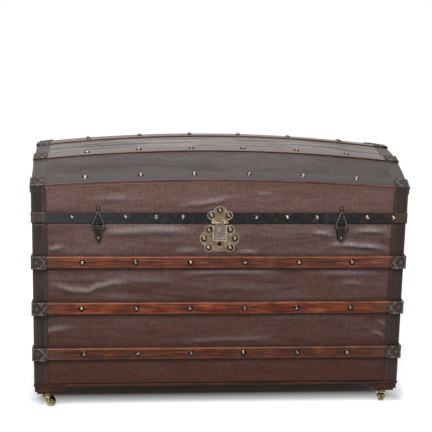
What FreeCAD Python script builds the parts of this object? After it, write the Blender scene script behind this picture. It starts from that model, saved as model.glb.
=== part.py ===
import FreeCAD, Part
import math
import os

# A dome top trunk, in millimetres. X runs along the trunk, -Y is its front and Z = 0 is the floor.
V = FreeCAD.Vector

# Carcass: boarded walls on a bottom board, with a lip inside the rim that the lid closes over.
carcass_width = 876.0
carcass_depth = 496.0
wall_height = 386.0
board_thickness = 12.0
bottom_thickness = 10.0
lip_thickness = 6.0
lip_depth = 28.0
lip_rise = 12.0

# Covering: woven oilcloth skins, leather bindings up the corners and over the ends of the dome.
canvas_thickness = 1.2
binding_thickness = 1.5
binding_leg = 33.0
binding_fold = 18.0

# Base: plinth strips, bracket feet with a stepped lower edge, and small brass castors.
foot_height = 20.0
plinth_height = 6.0
plinth_width = 24.0
plinth_reach = 2.0
plinth_round = 2.0
bracket_thickness = 14.0
bracket_reach_low = 52.0
bracket_reach_high = 89.0
bracket_bow_shares = (0.4, 0.64)
foot_block = 50.0
foot_step_depth = 5.0
foot_step_height = 7.0
castor_inset = 29.0
castor_trail = 8.0
wheel_radius = 12.5
wheel_width = 15.0
wheel_tread = 5.0
wheel_side_radius = 9.0
wheel_bulge = 1.0
wheel_gap = 1.0
castor_gap = 0.3
axle_radius = 2.0
axle_head = 3.0
fork_crown = 2.5
fork_crown_radius = 10.0
fork_neck = 7.5
fork_neck_radius = 4.5
fork_neck_foot = 6.5
fork_cheek = 2.2
fork_eye_radius = 4.5
fork_stem_radius = 3.5
fork_stem_length = 16.0
castor_plate_thickness = 2.2
castor_plate_radius = 17.0
castor_trail_angles = {"front_left": -30.0, "front_right": 74.0, "back_left": 140.0, "back_right": 35.0}

# Wooden slats on the front and back, with cast clamps that turn the corners over their ends.
slat_height = 27.0
slat_thickness = 10.0
slat_round = 2.5
slat_lowest = 78.6
slat_below_rim = 93.2
clamp_leg = 38.0
clamp_thickness = 2.0
clamp_flange = 6.0
clamp_scallop = 8.0
clamp_bead_height = 8.0
clamp_bead_rise = 1.2
clamp_bead_margin = 6.0

# Lid: a shallow dome arched both ways, of staves in short butted lengths, on four rails.
lid_overhang = 1.5
crest_rise = 168.5
end_fall = 27.0
front_fall = 69.0
corner_fall = 59.0
dome_thickness = 6.0
stave_count = 7
stave_run_count = 5
band_height = 25.0
band_thickness = 1.5
lid_slat_thickness = 4.5
lid_slat_round = 1.8
lid_slat_inset = 12.8
lid_slat_offset = 119.0
cap_length = 34.0
cap_thickness = 1.5
cap_fold = 10.0

# Back hinges: two leaves and a pin each.
hinge_inset = 168.0
hinge_width = 50.0
hinge_leaf = 2.0
hinge_leaf_length = 56.0
hinge_knuckle_radius = 4.5
hinge_pin_radius = 2.5
hinge_pin_head = 1.5
hinge_middle = 17.4
hinge_end_gap = 0.3
hinge_joggle = 12.0

# Lock: lobed lower plate with a U-shaped recess, case and bolt behind it, hinged hasp on the lid.
lock_offset = -4.5
lock_plate_thickness = 2.0
lock_plate_half_width = 27.0
lock_plate_height = 63.0
lock_plate_drop = 5.0
lobe_radius = 10.0
lobe_upper_offset = 25.0
lobe_upper_drop = 16.0
lobe_side_offset = 28.0
lobe_side_drop = 37.0
lobe_side_radius = 18.0
lobe_lower_offset = 25.5
lobe_lower_drop = 59.0
recess_half_width = 14.0
recess_rim = 2.0
recess_rim_rise = 3.0
recess_floor_drop = 40.0
keyhole_drop = 50.0
keyhole_radius = 3.2
keyhole_slot = 3.0
keyhole_slot_drop = 9.0
case_half_width = 24.0
case_depth = 9.0
case_top_drop = 8.0
case_bottom_drop = 60.0
hasp_thickness = 2.0
hasp_half_width = 12.5
hasp_length = 37.0
hasp_neck_half_width = 9.0
hasp_neck = 4.0
hasp_lip = 2.4
hasp_lip_height = 2.0
hasp_knuckle_radius = 3.0
hasp_pin_radius = 1.5
hasp_pin_half_length = 19.0
hasp_pin_rise = 1.0
hasp_knuckle_gap = 0.5
hasp_stand_off = 0.4
staple_half_width = 3.0
staple_top_drop = 21.0
staple_bottom_drop = 33.0
staple_slot_gap = 1.0
staple_swing = 3.5
staple_wall = 1.4
bolt_height = 5.0
bolt_depth = 3.0
bolt_length = 16.0
bolt_throw = 9.0
bolt_foot_width = 4.0
bolt_foot_drop = 9.0
bolt_gap = 0.3
upper_plate_thickness = 2.0
upper_lobe_radius = 10.0
upper_apex_radius = 16.0
upper_apex_rise = 25.0
upper_side_offset = 20.0
upper_side_rise = 19.0

# Draw latches: base with ears, lever and wire loop on the body, catch with a nib on the lid.
latch_insets = {"left": 150.0, "right": 155.0}
latch_plate = 1.5
latch_half_width = 15.6
latch_top_drop = 2.0
latch_ear_drop = 12.5
latch_waist_drop = 14.5
latch_waist_half_width = 11.5
latch_end_drop = 36.0
latch_end_radius = 8.0
latch_ear = 2.0
latch_ear_radius = 4.0
latch_pin_radius = 1.5
latch_pin_drop = 7.0
latch_pin_stand = 4.2
latch_arm_offset = 5.5
latch_arm_reach = 3.1
lever_half_width = 9.5
lever_hub_radius = 3.0
lever_thickness = 2.0
lever_length = 27.0
lever_end_radius = 5.5
loop_radius = 1.3
loop_stub_radius = 1.0
loop_stub_length = 4.0
loop_boss_radius = 2.4
loop_half_width = 12.0
loop_shoulder = 8.0
loop_rise = 30.0
catch_half_width = 9.0
catch_rise = 36.0
catch_shoulder = 14.0
catch_neck_half_width = 3.0
catch_neck_rise = 26.0
catch_tip_radius = 5.0
catch_nib_half_width = 5.0
catch_nib_rise = 10.0
catch_nib_height = 6.0
latch_gap = 0.4

# End handles: a forged bail hanging from two lugs.
handle_half_width = 62.0
handle_over_slat = 10.0
handle_radius = 4.0
handle_bend_share = 0.42
handle_stub_radius = 3.0
handle_stub_length = 9.0
handle_stand = 6.5
lug_radius = 14.0
lug_thickness = 2.0
lug_eye_radius = 5.6
lug_eye_width = 8.0
lug_gap = 0.5
lug_below_slat = 1.0

running_gap = 0.05
overrun = 20.0

# Levels above the floor, and the outer faces that the fittings sit on.
fork_top = 2 * wheel_radius + wheel_gap + fork_crown + fork_neck
foot_bottom = fork_top + castor_gap + castor_plate_thickness
plinth_bottom = foot_bottom + foot_height
plinth_top = plinth_bottom + plinth_height
wall_bottom = plinth_top + bottom_thickness
parting = wall_bottom + wall_height
half_width = carcass_width / 2
half_depth = carcass_depth / 2
skin_x = half_width + canvas_thickness
skin_y = half_depth + canvas_thickness
slat_x = skin_x + binding_thickness
slat_y = skin_y + slat_thickness
lid_x = half_width + lid_overhang
lid_y = half_depth + lid_overhang
lid_skin_x = lid_x + canvas_thickness
lid_skin_y = lid_y + canvas_thickness
band_x = lid_skin_x + band_thickness
band_y = lid_skin_y + band_thickness
slat_pitch = (parting - slat_below_rim - plinth_top - slat_lowest) / 2
slat_levels = [plinth_top + slat_lowest + slat_pitch * row for row in range(3)]
corners = {"front_left": (-1, -1), "front_right": (1, -1), "back_left": (-1, 1), "back_right": (1, 1)}


def block(x_low, x_high, y_low, y_high, z_low, z_high):
    return Part.makeBox(x_high - x_low, y_high - y_low, z_high - z_low, V(x_low, y_low, z_low))


def centred(x_half, y_half, z_low, z_high):
    return block(-x_half, x_half, -y_half, y_half, z_low, z_high)


def ring(x_inner, y_inner, wall, z_low, z_high):
    hollow = centred(x_inner, y_inner, z_low - overrun, z_high + overrun)
    return centred(x_inner + wall, y_inner + wall, z_low, z_high).cut(hollow)


def rod_x(radius, x_low, x_high, y, z):
    return Part.makeCylinder(radius, x_high - x_low, V(x_low, y, z), V(1, 0, 0))


def disc_y(radius, x, y_low, y_high, z):
    return Part.makeCylinder(radius, y_high - y_low, V(x, y_low, z), V(0, 1, 0))


def plate_y(outline, y_low, y_high):
    points = [V(x, y_low, z) for x, z in outline]
    face = Part.Face(Part.makePolygon(points + points[:1]))
    return face.extrude(V(0, y_high - y_low, 0))


def joined(first, *others):
    return first.fuse(list(others)).removeSplitter()


def moved(shape, x, y, z):
    copy = shape.copy()
    copy.translate(V(x, y, z))
    return copy


def mirrored(shape, across):
    return shape.mirror(V(0, 0, 0), across)


def both_sides(shape):
    return [shape, mirrored(shape, V(1, 0, 0))]


def all_corners(shape):
    pair = both_sides(shape)
    return pair + [mirrored(each, V(0, 1, 0)) for each in pair]


def rounded(solid, radius, wanted):
    return solid.makeFillet(radius, [edge for edge in solid.Edges if wanted(edge)])


def save(name, *solids):
    shape = solids[0] if len(solids) == 1 else Part.makeCompound(list(solids))
    shape.exportStep("parts/" + name + ".step")
    print(name, len(shape.Solids), round(shape.Volume), shape.isValid())


# The dome is a product of two parabolas, so each patch of it is a Bezier face of nine poles.
def dome_level(x_pair, y_pair):
    x_square = x_pair[0] * x_pair[1] / lid_x ** 2
    y_square = y_pair[0] * y_pair[1] / lid_y ** 2
    fall = front_fall - (front_fall - corner_fall) * x_square
    return parting + crest_rise - end_fall * x_square - fall * y_square


def dome_patch(x_low, x_high, y_low, y_high, lift):
    surface = Part.BezierSurface()
    surface.increase(2, 2)
    x_pairs = [(x_low, x_low), (x_low, x_high), (x_high, x_high)]
    y_pairs = [(y_low, y_low), (y_low, y_high), (y_high, y_high)]
    for row, x_pair in enumerate(x_pairs):
        for column, y_pair in enumerate(y_pairs):
            pole = V(sum(x_pair) / 2, sum(y_pair) / 2, dome_level(x_pair, y_pair) + lift)
            surface.setPole(row + 1, column + 1, pole)
    return surface.toShape()


def under_dome(lift):
    x_far = band_x + overrun
    y_far = band_y + overrun
    return dome_patch(-x_far, x_far, -y_far, y_far, lift).extrude(V(0, 0, -2 * crest_rise))


def dome_normal(y):
    slope = -2 * front_fall * y / lid_y ** 2
    return V(0, -slope, 1).normalize()


def corner_angle(x_outer, y_outer, leg, thickness, z_low, z_high):
    outer = block(-x_outer, leg - x_outer, -y_outer, leg - y_outer, z_low, z_high)
    x_inner = x_outer - thickness
    y_inner = y_outer - thickness
    return outer.cut(block(-x_inner, leg, -y_inner, leg, z_low - overrun, z_high + overrun))


def lock_hollow():
    y_back = case_depth - half_depth
    case = block(-case_half_width, case_half_width, -skin_y - overrun, y_back,
                 parting - case_bottom_drop, parting - case_top_drop)
    slot_half_width = staple_half_width + staple_slot_gap
    slot = block(-slot_half_width, slot_half_width, -skin_y - overrun, y_back,
                 parting - case_top_drop, parting + overrun)
    return moved(joined(case, slot), lock_offset, 0, 0)


def make_carcass():
    y_inner = half_depth - board_thickness
    x_inner = half_width - board_thickness
    save("bottom_board", centred(half_width, half_depth, plinth_top, wall_bottom))
    back = block(-half_width, half_width, y_inner, half_depth, wall_bottom, parting)
    save("back_board", back)
    save("front_board", mirrored(back, V(0, 1, 0)).cut(lock_hollow()))
    left = block(-half_width, -x_inner, -y_inner, y_inner, wall_bottom, parting)
    save("left_end_board", left)
    save("right_end_board", mirrored(left, V(1, 0, 0)))
    low = parting - lip_depth
    high = parting + lip_rise
    long_lip = block(-x_inner, x_inner, -y_inner, lip_thickness - y_inner, low, high)
    y_end = y_inner - lip_thickness
    end_lip = block(-x_inner, lip_thickness - x_inner, -y_end, y_end, low, high)
    save("inner_lip", long_lip, mirrored(long_lip, V(0, 1, 0)), *both_sides(end_lip))


def body_bindings():
    x_outer = skin_x + binding_thickness
    y_outer = skin_y + binding_thickness
    angle = corner_angle(x_outer, y_outer, binding_leg, binding_thickness, plinth_top, parting)
    return all_corners(angle)


def make_body_covering():
    cover = ring(half_width, half_depth, canvas_thickness, plinth_top, parting)
    save("body_canvas", cover.cut(lock_hollow()))
    save("body_corner_bindings", *body_bindings())


def make_foot():
    span = bracket_reach_high - bracket_reach_low
    start = V(bracket_reach_low, 0, foot_bottom)
    bow = start + V(span * bracket_bow_shares[0], 0, foot_height * bracket_bow_shares[1])
    end = V(bracket_reach_high, 0, plinth_bottom)
    top = V(0, 0, plinth_bottom)
    low = V(0, 0, foot_bottom)
    curve = Part.Arc(start, bow, end).toShape()
    edges = [Part.makeLine(low, start), curve, Part.makeLine(end, top), Part.makeLine(top, low)]
    long_bracket = Part.Face(Part.Wire(edges)).extrude(V(0, bracket_thickness, 0))
    end_bracket = mirrored(long_bracket, V(1, -1, 0))
    post = block(0, foot_block, 0, foot_block, foot_bottom, plinth_bottom)
    foot = joined(long_bracket, end_bracket, post)
    step_top = foot_bottom + foot_step_height
    reach = bracket_reach_high
    step = block(0, reach, 0, reach, foot_bottom - overrun, step_top)
    step = step.cut(block(foot_step_depth, reach, foot_step_depth, reach, foot_bottom - overrun, step_top))
    stem_hole = Part.makeCylinder(fork_stem_radius + running_gap, foot_height,
                                  V(castor_inset, castor_inset, foot_bottom))
    return moved(foot.cut([step, stem_hole]), -skin_x, -skin_y, 0)


def make_base():
    x_outer = skin_x + plinth_reach
    y_outer = skin_y + plinth_reach
    y_inner = y_outer - plinth_width
    front = block(-x_outer, x_outer, -y_outer, -y_inner, plinth_bottom, plinth_top)
    front = rounded(front, plinth_round, lambda edge: edge.CenterOfMass.y < -y_outer + plinth_round
                    and abs(edge.CenterOfMass.x) < x_outer / 2)
    end = block(-x_outer, plinth_width - x_outer, -y_inner, y_inner, plinth_bottom, plinth_top)
    end = rounded(end, plinth_round, lambda edge: edge.CenterOfMass.x < -x_outer + plinth_round
                  and abs(edge.CenterOfMass.y) < y_inner / 2)
    save("plinth_rails", front, mirrored(front, V(0, 1, 0)), *both_sides(end))
    save("corner_feet", *all_corners(make_foot()))


def make_castor(corner):
    wheel_x = castor_trail
    crown_low = 2 * wheel_radius + wheel_gap
    crown_high = crown_low + fork_crown
    half = wheel_width / 2
    tread = wheel_tread / 2
    bore = axle_radius + running_gap
    bulge_radius = (wheel_radius + wheel_side_radius) / 2 + wheel_bulge
    bulge_at = (half + tread) / 2 + wheel_bulge

    def at(y, radius):
        return V(wheel_x, y, wheel_radius + radius)

    half_profile = [(half, bore), (half, wheel_side_radius), (bulge_at, bulge_radius), (tread, wheel_radius)]
    points = [at(-y, radius) for y, radius in half_profile]
    points += [at(y, radius) for y, radius in reversed(half_profile)]
    profile = Part.Face(Part.makePolygon(points + points[:1]))
    wheel = profile.revolve(V(wheel_x, 0, wheel_radius), V(0, 1, 0), 360)

    cheek_in = half + castor_gap
    cheek_out = cheek_in + fork_cheek
    outline = [(-fork_crown_radius, crown_high), (-fork_crown_radius, crown_low),
               (wheel_x - fork_eye_radius, wheel_radius), (wheel_x + fork_eye_radius, wheel_radius),
               (fork_crown_radius, crown_low), (fork_crown_radius, crown_high)]
    cheek = plate_y(outline, cheek_in, cheek_out)
    eye = disc_y(fork_eye_radius, wheel_x, cheek_in, cheek_out, wheel_radius)
    axle_hole = disc_y(axle_radius, wheel_x, -cheek_out, cheek_out, wheel_radius)
    near = joined(cheek, eye)
    crown = block(-fork_crown_radius, fork_crown_radius, -cheek_out, cheek_out, crown_low, crown_high)
    neck = Part.makeCone(fork_neck_foot, fork_neck_radius, fork_neck, V(0, 0, crown_high))
    stem = Part.makeCylinder(fork_stem_radius, fork_stem_length, V(0, 0, fork_top))
    fork = joined(crown, near, mirrored(near, V(0, 1, 0)), neck, stem).cut(axle_hole)
    axle = disc_y(axle_radius, wheel_x, -cheek_out, cheek_out, wheel_radius)
    head = disc_y(axle_head, wheel_x, cheek_out, cheek_out + axle_radius / 2, wheel_radius)
    axle = joined(axle, head, mirrored(head, V(0, 1, 0)))

    x_side, y_side = corners[corner]
    x = x_side * (skin_x - castor_inset)
    y = y_side * (skin_y - castor_inset)
    for solid in (wheel, fork, axle):
        solid.rotate(V(0, 0, 0), V(0, 0, 1), castor_trail_angles[corner])
        solid.translate(V(x, y, 0))
    save("castor_fork_" + corner, fork, axle)
    save("castor_wheel_" + corner, wheel)
    plate = Part.makeCylinder(castor_plate_radius, castor_plate_thickness,
                              V(x, y, foot_bottom - castor_plate_thickness))
    hole = Part.makeCylinder(fork_stem_radius + running_gap, 2 * castor_plate_thickness,
                             V(x, y, foot_bottom - 2 * castor_plate_thickness))
    return plate.cut(hole)


def make_clamp(level):
    z_half = slat_height / 2
    x_outer = slat_x + clamp_thickness
    y_outer = slat_y + clamp_thickness
    low = level - z_half - clamp_thickness
    high = level + z_half + clamp_thickness
    clamp = corner_angle(x_outer, y_outer, clamp_leg, clamp_thickness + clamp_flange, low, high)
    slat_room = block(-slat_x, clamp_leg, -slat_y, clamp_leg, level - z_half, level + z_half)
    wall_room = block(-slat_x, clamp_leg, -skin_y - binding_thickness, clamp_leg, low, high)
    clamp = clamp.cut([slat_room, wall_room])
    bead_low = level - clamp_bead_height / 2
    bead_high = level + clamp_bead_height / 2
    bead = corner_angle(x_outer + clamp_bead_rise, y_outer + clamp_bead_rise,
                        clamp_leg - clamp_bead_margin, clamp_bead_rise, bead_low, bead_high)
    clamp = joined(clamp, bead)
    x_end = clamp_leg - x_outer
    y_end = clamp_leg - y_outer
    for side in (-1, 1):
        z = level + side * z_half
        clamp = clamp.cut(disc_y(clamp_scallop, x_end, -y_outer - overrun, overrun - y_outer, z))
        clamp = clamp.cut(rod_x(clamp_scallop, -x_outer - overrun, overrun - x_outer, y_end, z))
    return clamp


def make_body_slats():
    bindings = body_bindings()
    z_half = slat_height / 2
    rows = ["lower", "middle", "upper"]
    back_slats = []
    clamps = []
    for row, level in zip(rows, slat_levels):
        long_slat = block(-slat_x, slat_x, -slat_y, -skin_y, level - z_half, level + z_half)
        long_slat = rounded(long_slat, slat_round, lambda edge: edge.CenterOfMass.y < -slat_y + slat_round
                            and abs(edge.CenterOfMass.x) < slat_x / 2)
        long_slat = long_slat.cut(bindings)
        save("front_slat_" + row, long_slat)
        back_slats.append(mirrored(long_slat, V(0, 1, 0)))
        clamps.extend(all_corners(make_clamp(level)))
    save("back_slats", *back_slats)
    save("slat_clamps", *clamps)


def make_lid_shell():
    high = parting + 2 * crest_rise
    y_inner = lid_y - board_thickness
    x_inner = lid_x - board_thickness
    under_panel = under_dome(-dome_thickness)
    front = block(-lid_x, lid_x, -lid_y, -y_inner, parting, high).common(under_panel)
    save("lid_front_rail", front)
    save("lid_back_rail", mirrored(front, V(0, 1, 0)))
    end = block(-lid_x, -x_inner, -y_inner, y_inner, parting, high).common(under_panel)
    save("lid_left_end", end)
    save("lid_right_end", mirrored(end, V(1, 0, 0)))
    stave_width = 2 * lid_y / stave_count
    stave_length = 2 * lid_x / stave_run_count
    staves = []
    for column in range(stave_count):
        y_low = stave_width * column - lid_y
        for row in range(stave_run_count):
            x_low = stave_length * row - lid_x
            stave = dome_patch(x_low, x_low + stave_length, y_low, y_low + stave_width, 0)
            staves.append(stave.extrude(V(0, 0, -dome_thickness)))
    save("lid_dome_panel", *staves)
    cover = ring(lid_x, lid_y, canvas_thickness, parting, high).common(under_dome(0))
    save("lid_canvas", cover)
    top_cover = dome_patch(-lid_skin_x, lid_skin_x, -lid_skin_y, lid_skin_y, 0)
    save("dome_canvas", top_cover.extrude(V(0, 0, canvas_thickness)))
    save("lid_rim_band", ring(lid_skin_x, lid_skin_y, band_thickness, parting, parting + band_height))


def lid_end_binding():
    x_far = lid_skin_x + binding_thickness
    y_far = lid_skin_y
    strip = dome_patch(-x_far, binding_leg - x_far, -y_far, y_far, canvas_thickness)
    strip = strip.extrude(V(0, 0, binding_thickness))
    fold = dome_patch(-x_far, -lid_skin_x, -y_far, y_far, canvas_thickness + binding_thickness)
    return joined(strip, fold.extrude(V(0, 0, -binding_fold)))


def make_lid_bindings():
    over_ends = both_sides(lid_end_binding())
    save("lid_end_bindings", *over_ends)
    x_outer = lid_skin_x + binding_thickness
    y_outer = lid_skin_y + binding_thickness
    angle = corner_angle(x_outer, y_outer, binding_leg, binding_thickness,
                         parting + band_height, parting + 2 * crest_rise)
    angle = angle.common(under_dome(canvas_thickness)).cut(over_ends)
    save("lid_corner_bindings", *all_corners(angle))


def lid_slat_block(x_low, x_high, y, y_half, lift, thickness):
    face = dome_patch(x_low, x_high, y - y_half, y + y_half, canvas_thickness + lift)
    return face.extrude(dome_normal(y) * thickness)


def make_lid_slats():
    end_bindings = both_sides(lid_end_binding())
    y_half = slat_height / 2
    x_end = lid_skin_x + binding_thickness
    edge_y = lid_y - lid_slat_inset
    places = {"front_edge": -edge_y, "front": -lid_slat_offset, "crest": 0,
              "back": lid_slat_offset, "back_edge": edge_y}
    caps = []
    for name, y in places.items():
        slat = lid_slat_block(-x_end, x_end, y, y_half, 0, lid_slat_thickness)
        up = dome_normal(y)
        long_edges = [edge for edge in slat.Edges if edge.Length > x_end]
        long_edges.sort(key=lambda edge: edge.CenterOfMass.dot(up))
        slat = slat.makeFillet(lid_slat_round, long_edges[-2:])
        save("lid_slat_" + name, slat.cut(end_bindings))
        cap_y = y_half + cap_thickness
        top = lid_slat_block(-x_end - cap_thickness, cap_length - x_end, y, cap_y, binding_thickness,
                             lid_slat_thickness + cap_thickness - binding_thickness)
        drop = lid_slat_block(-x_end - cap_thickness, -x_end, y, cap_y, -cap_fold,
                              lid_slat_thickness + cap_thickness + cap_fold)
        caps.extend(both_sides(joined(top, drop).cut([slat] + end_bindings)))
    save("lid_slat_caps", *caps)


def make_hinges():
    y_pin = band_y + hinge_end_gap + hinge_knuckle_radius
    half = hinge_width / 2
    middle = hinge_middle / 2
    outer = middle + hinge_end_gap
    low = parting - hinge_leaf_length
    joggle_low = parting - hinge_knuckle_radius - hinge_joggle
    joggle_high = parting - hinge_knuckle_radius
    plate = block(-half, half, skin_y, skin_y + hinge_leaf, low, joggle_high)
    joggle = block(-half, half, skin_y, y_pin, joggle_low, joggle_high)
    joggle = joggle.makeChamfer(hinge_leaf, [edge for edge in joggle.Edges
                                             if edge.CenterOfMass.y > y_pin - hinge_leaf / 2
                                             and edge.CenterOfMass.z < joggle_low + hinge_leaf / 2])
    clear = rod_x(hinge_knuckle_radius + hinge_end_gap, -outer, outer, y_pin, parting)
    knuckles = [rod_x(hinge_knuckle_radius, outer, half, y_pin, parting),
                rod_x(hinge_knuckle_radius, -half, -outer, y_pin, parting)]
    webs = [block(outer, half, skin_y, y_pin, joggle_high, parting - hinge_pin_radius),
            block(-half, -outer, skin_y, y_pin, joggle_high, parting - hinge_pin_radius)]
    pin_hole = rod_x(hinge_pin_radius, -half, half, y_pin, parting)
    body_leaf = joined(plate, joggle, *knuckles, *webs).cut([clear, pin_hole])

    gap = hinge_knuckle_radius + hinge_end_gap
    high = parting + hinge_leaf_length
    lid_plate = block(-half, half, band_y, band_y + hinge_leaf, parting + gap, high)
    lid_web = block(-middle, middle, band_y, y_pin, parting, parting + gap + hinge_leaf)
    lid_knuckle = rod_x(hinge_knuckle_radius, -middle, middle, y_pin, parting)
    lid_hole = rod_x(hinge_pin_radius + running_gap, -half, half, y_pin, parting)
    lid_leaf = joined(lid_plate, lid_web, lid_knuckle).cut(lid_hole)

    pin = rod_x(hinge_pin_radius, -half, half, y_pin, parting)
    head = rod_x(hinge_knuckle_radius, half, half + hinge_pin_head, y_pin, parting)
    pin = joined(pin, head)
    place = half_width - hinge_inset
    sides = (-place, place)
    save("hinge_body_leaves", *[moved(body_leaf, x, 0, 0) for x in sides])
    save("hinge_lid_leaves", *[moved(lid_leaf, x, 0, 0) for x in sides])
    save("hinge_pins", *[moved(pin, x, 0, 0) for x in sides])


def save_lock(name, shape):
    save(name, moved(shape, lock_offset, 0, 0))


def make_lock():
    y_face = -skin_y - lock_plate_thickness
    top = parting - lock_plate_drop
    bottom = top - lock_plate_height
    plate = block(-lock_plate_half_width, lock_plate_half_width, y_face, -skin_y, bottom, top)
    lobes = [(lobe_radius, lobe_upper_offset, lobe_upper_drop),
             (lobe_side_radius, lobe_side_offset, lobe_side_drop),
             (lobe_radius, lobe_lower_offset, lobe_lower_drop)]
    discs = [disc_y(radius, side * x, y_face, -skin_y, parting - drop)
             for radius, x, drop in lobes for side in (-1, 1)]
    rim_out = recess_half_width + recess_rim
    floor = parting - recess_floor_drop
    rim = block(-rim_out, rim_out, y_face - recess_rim_rise, y_face, floor - recess_rim, top)
    rim = rim.cut(block(-recess_half_width, recess_half_width, y_face - 2 * recess_rim_rise, y_face,
                        floor, parting))
    slot_half = staple_half_width + staple_slot_gap
    slot_low = parting - staple_bottom_drop - staple_swing
    slot = block(-slot_half, slot_half, y_face, -skin_y, slot_low, parting)
    key_z = parting - keyhole_drop
    key_round = disc_y(keyhole_radius, 0, y_face, -skin_y, key_z)
    key_slot = block(-keyhole_slot / 2, keyhole_slot / 2, y_face, -skin_y, key_z - keyhole_slot_drop, key_z)
    save_lock("lock_plate", joined(plate, rim, *discs).cut([slot, key_round, key_slot]))

    y_back = case_depth - half_depth
    eye_middle = parting - (staple_top_drop + staple_bottom_drop) / 2
    bolt_low = eye_middle - bolt_height / 2
    bolt_high = eye_middle + bolt_height / 2
    bolt_back = y_back - 2 * staple_wall
    bolt_front = bolt_back - bolt_depth
    bolt_right = -slot_half - bolt_gap
    bolt_left = bolt_right - bolt_length
    bar = block(bolt_left, bolt_right, bolt_front, bolt_back, bolt_low, bolt_high)
    foot = block(bolt_left, bolt_left + bolt_foot_width, bolt_front, bolt_back,
                 bolt_low - bolt_foot_drop, bolt_low)
    save_lock("lock_bolt", joined(bar, foot))
    case = block(-case_half_width, case_half_width, -half_depth, y_back,
                 parting - case_bottom_drop, parting - case_top_drop)
    track = block(bolt_left - bolt_gap, bolt_right + bolt_throw + bolt_gap, bolt_front - bolt_gap,
                  bolt_back + bolt_gap, bolt_low - bolt_gap, bolt_high + bolt_gap)
    foot_room = block(bolt_left - bolt_gap, bolt_left + bolt_foot_width + bolt_throw + bolt_gap,
                      bolt_front - bolt_gap, bolt_back + bolt_gap,
                      bolt_low - bolt_foot_drop - bolt_gap, bolt_low)
    way_in = block(-slot_half, slot_half, -half_depth, y_back - staple_wall / 2, slot_low, parting)
    key_way = disc_y(keyhole_slot_drop, 0, -half_depth, bolt_back, key_z)
    save_lock("lock_case", case.cut([track, foot_room, way_in, key_way]))

    y_pin = -band_y - hasp_stand_off - hasp_knuckle_radius
    z_pin = parting + hasp_pin_rise
    neck = hasp_neck_half_width
    outer = neck + hasp_knuckle_gap
    y_leaf = -band_y - hasp_stand_off
    leaf_low = parting - hasp_length
    neck_low = parting - hasp_neck
    leaf = block(-hasp_half_width, hasp_half_width, y_leaf - hasp_thickness, y_leaf, leaf_low, neck_low)
    leaf_neck = block(-neck, neck, y_leaf - hasp_thickness, y_leaf, neck_low, z_pin)
    knuckle = rod_x(hasp_knuckle_radius, -neck, neck, y_pin, z_pin)
    lip = block(-hasp_half_width + hasp_lip, hasp_half_width - hasp_lip,
                y_leaf - hasp_thickness - hasp_lip, y_leaf, leaf_low, leaf_low + hasp_lip_height)
    staple_back = y_back - staple_wall
    staple = block(-staple_half_width, staple_half_width, y_leaf, staple_back,
                   parting - staple_bottom_drop, parting - staple_top_drop)
    eye = block(-staple_half_width, staple_half_width, bolt_front - 2 * bolt_gap, bolt_back + bolt_gap,
                bolt_low - 2 * bolt_gap, bolt_high + 2 * bolt_gap)
    hasp = joined(leaf, leaf_neck, knuckle, lip, staple)
    hasp = hasp.cut([eye, rod_x(hasp_pin_radius + running_gap, -neck, neck, y_pin, z_pin)])
    save_lock("hasp", hasp)
    save_lock("hasp_pin", rod_x(hasp_pin_radius, -hasp_pin_half_length, hasp_pin_half_length, y_pin, z_pin))

    y_back = -band_y
    y_front = y_back - upper_plate_thickness
    low = z_pin + hasp_knuckle_radius + hasp_knuckle_gap
    apex = parting + upper_apex_rise
    side_z = parting + upper_side_rise
    body = plate_y([(-hasp_pin_half_length, low), (hasp_pin_half_length, low),
                    (upper_side_offset, side_z), (0, apex), (-upper_side_offset, side_z)], y_front, y_back)
    lobes = [disc_y(upper_apex_radius, 0, y_front, y_back, apex)]
    lobes += [disc_y(upper_lobe_radius, x, y_front, y_back, side_z)
              for x in (-upper_side_offset, upper_side_offset)]
    knuckles = [rod_x(hasp_knuckle_radius, outer, hasp_pin_half_length, y_pin, z_pin),
                rod_x(hasp_knuckle_radius, -hasp_pin_half_length, -outer, y_pin, z_pin)]
    webs = [block(outer, hasp_pin_half_length, y_pin, y_leaf, z_pin, low + upper_plate_thickness),
            block(-hasp_pin_half_length, -outer, y_pin, y_leaf, z_pin, low + upper_plate_thickness)]
    plate = joined(body, *lobes, *knuckles, *webs)
    pin_hole = rod_x(hasp_pin_radius, -hasp_pin_half_length, hasp_pin_half_length, y_pin, z_pin)
    save_lock("hasp_plate", plate.cut(pin_hole))


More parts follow.
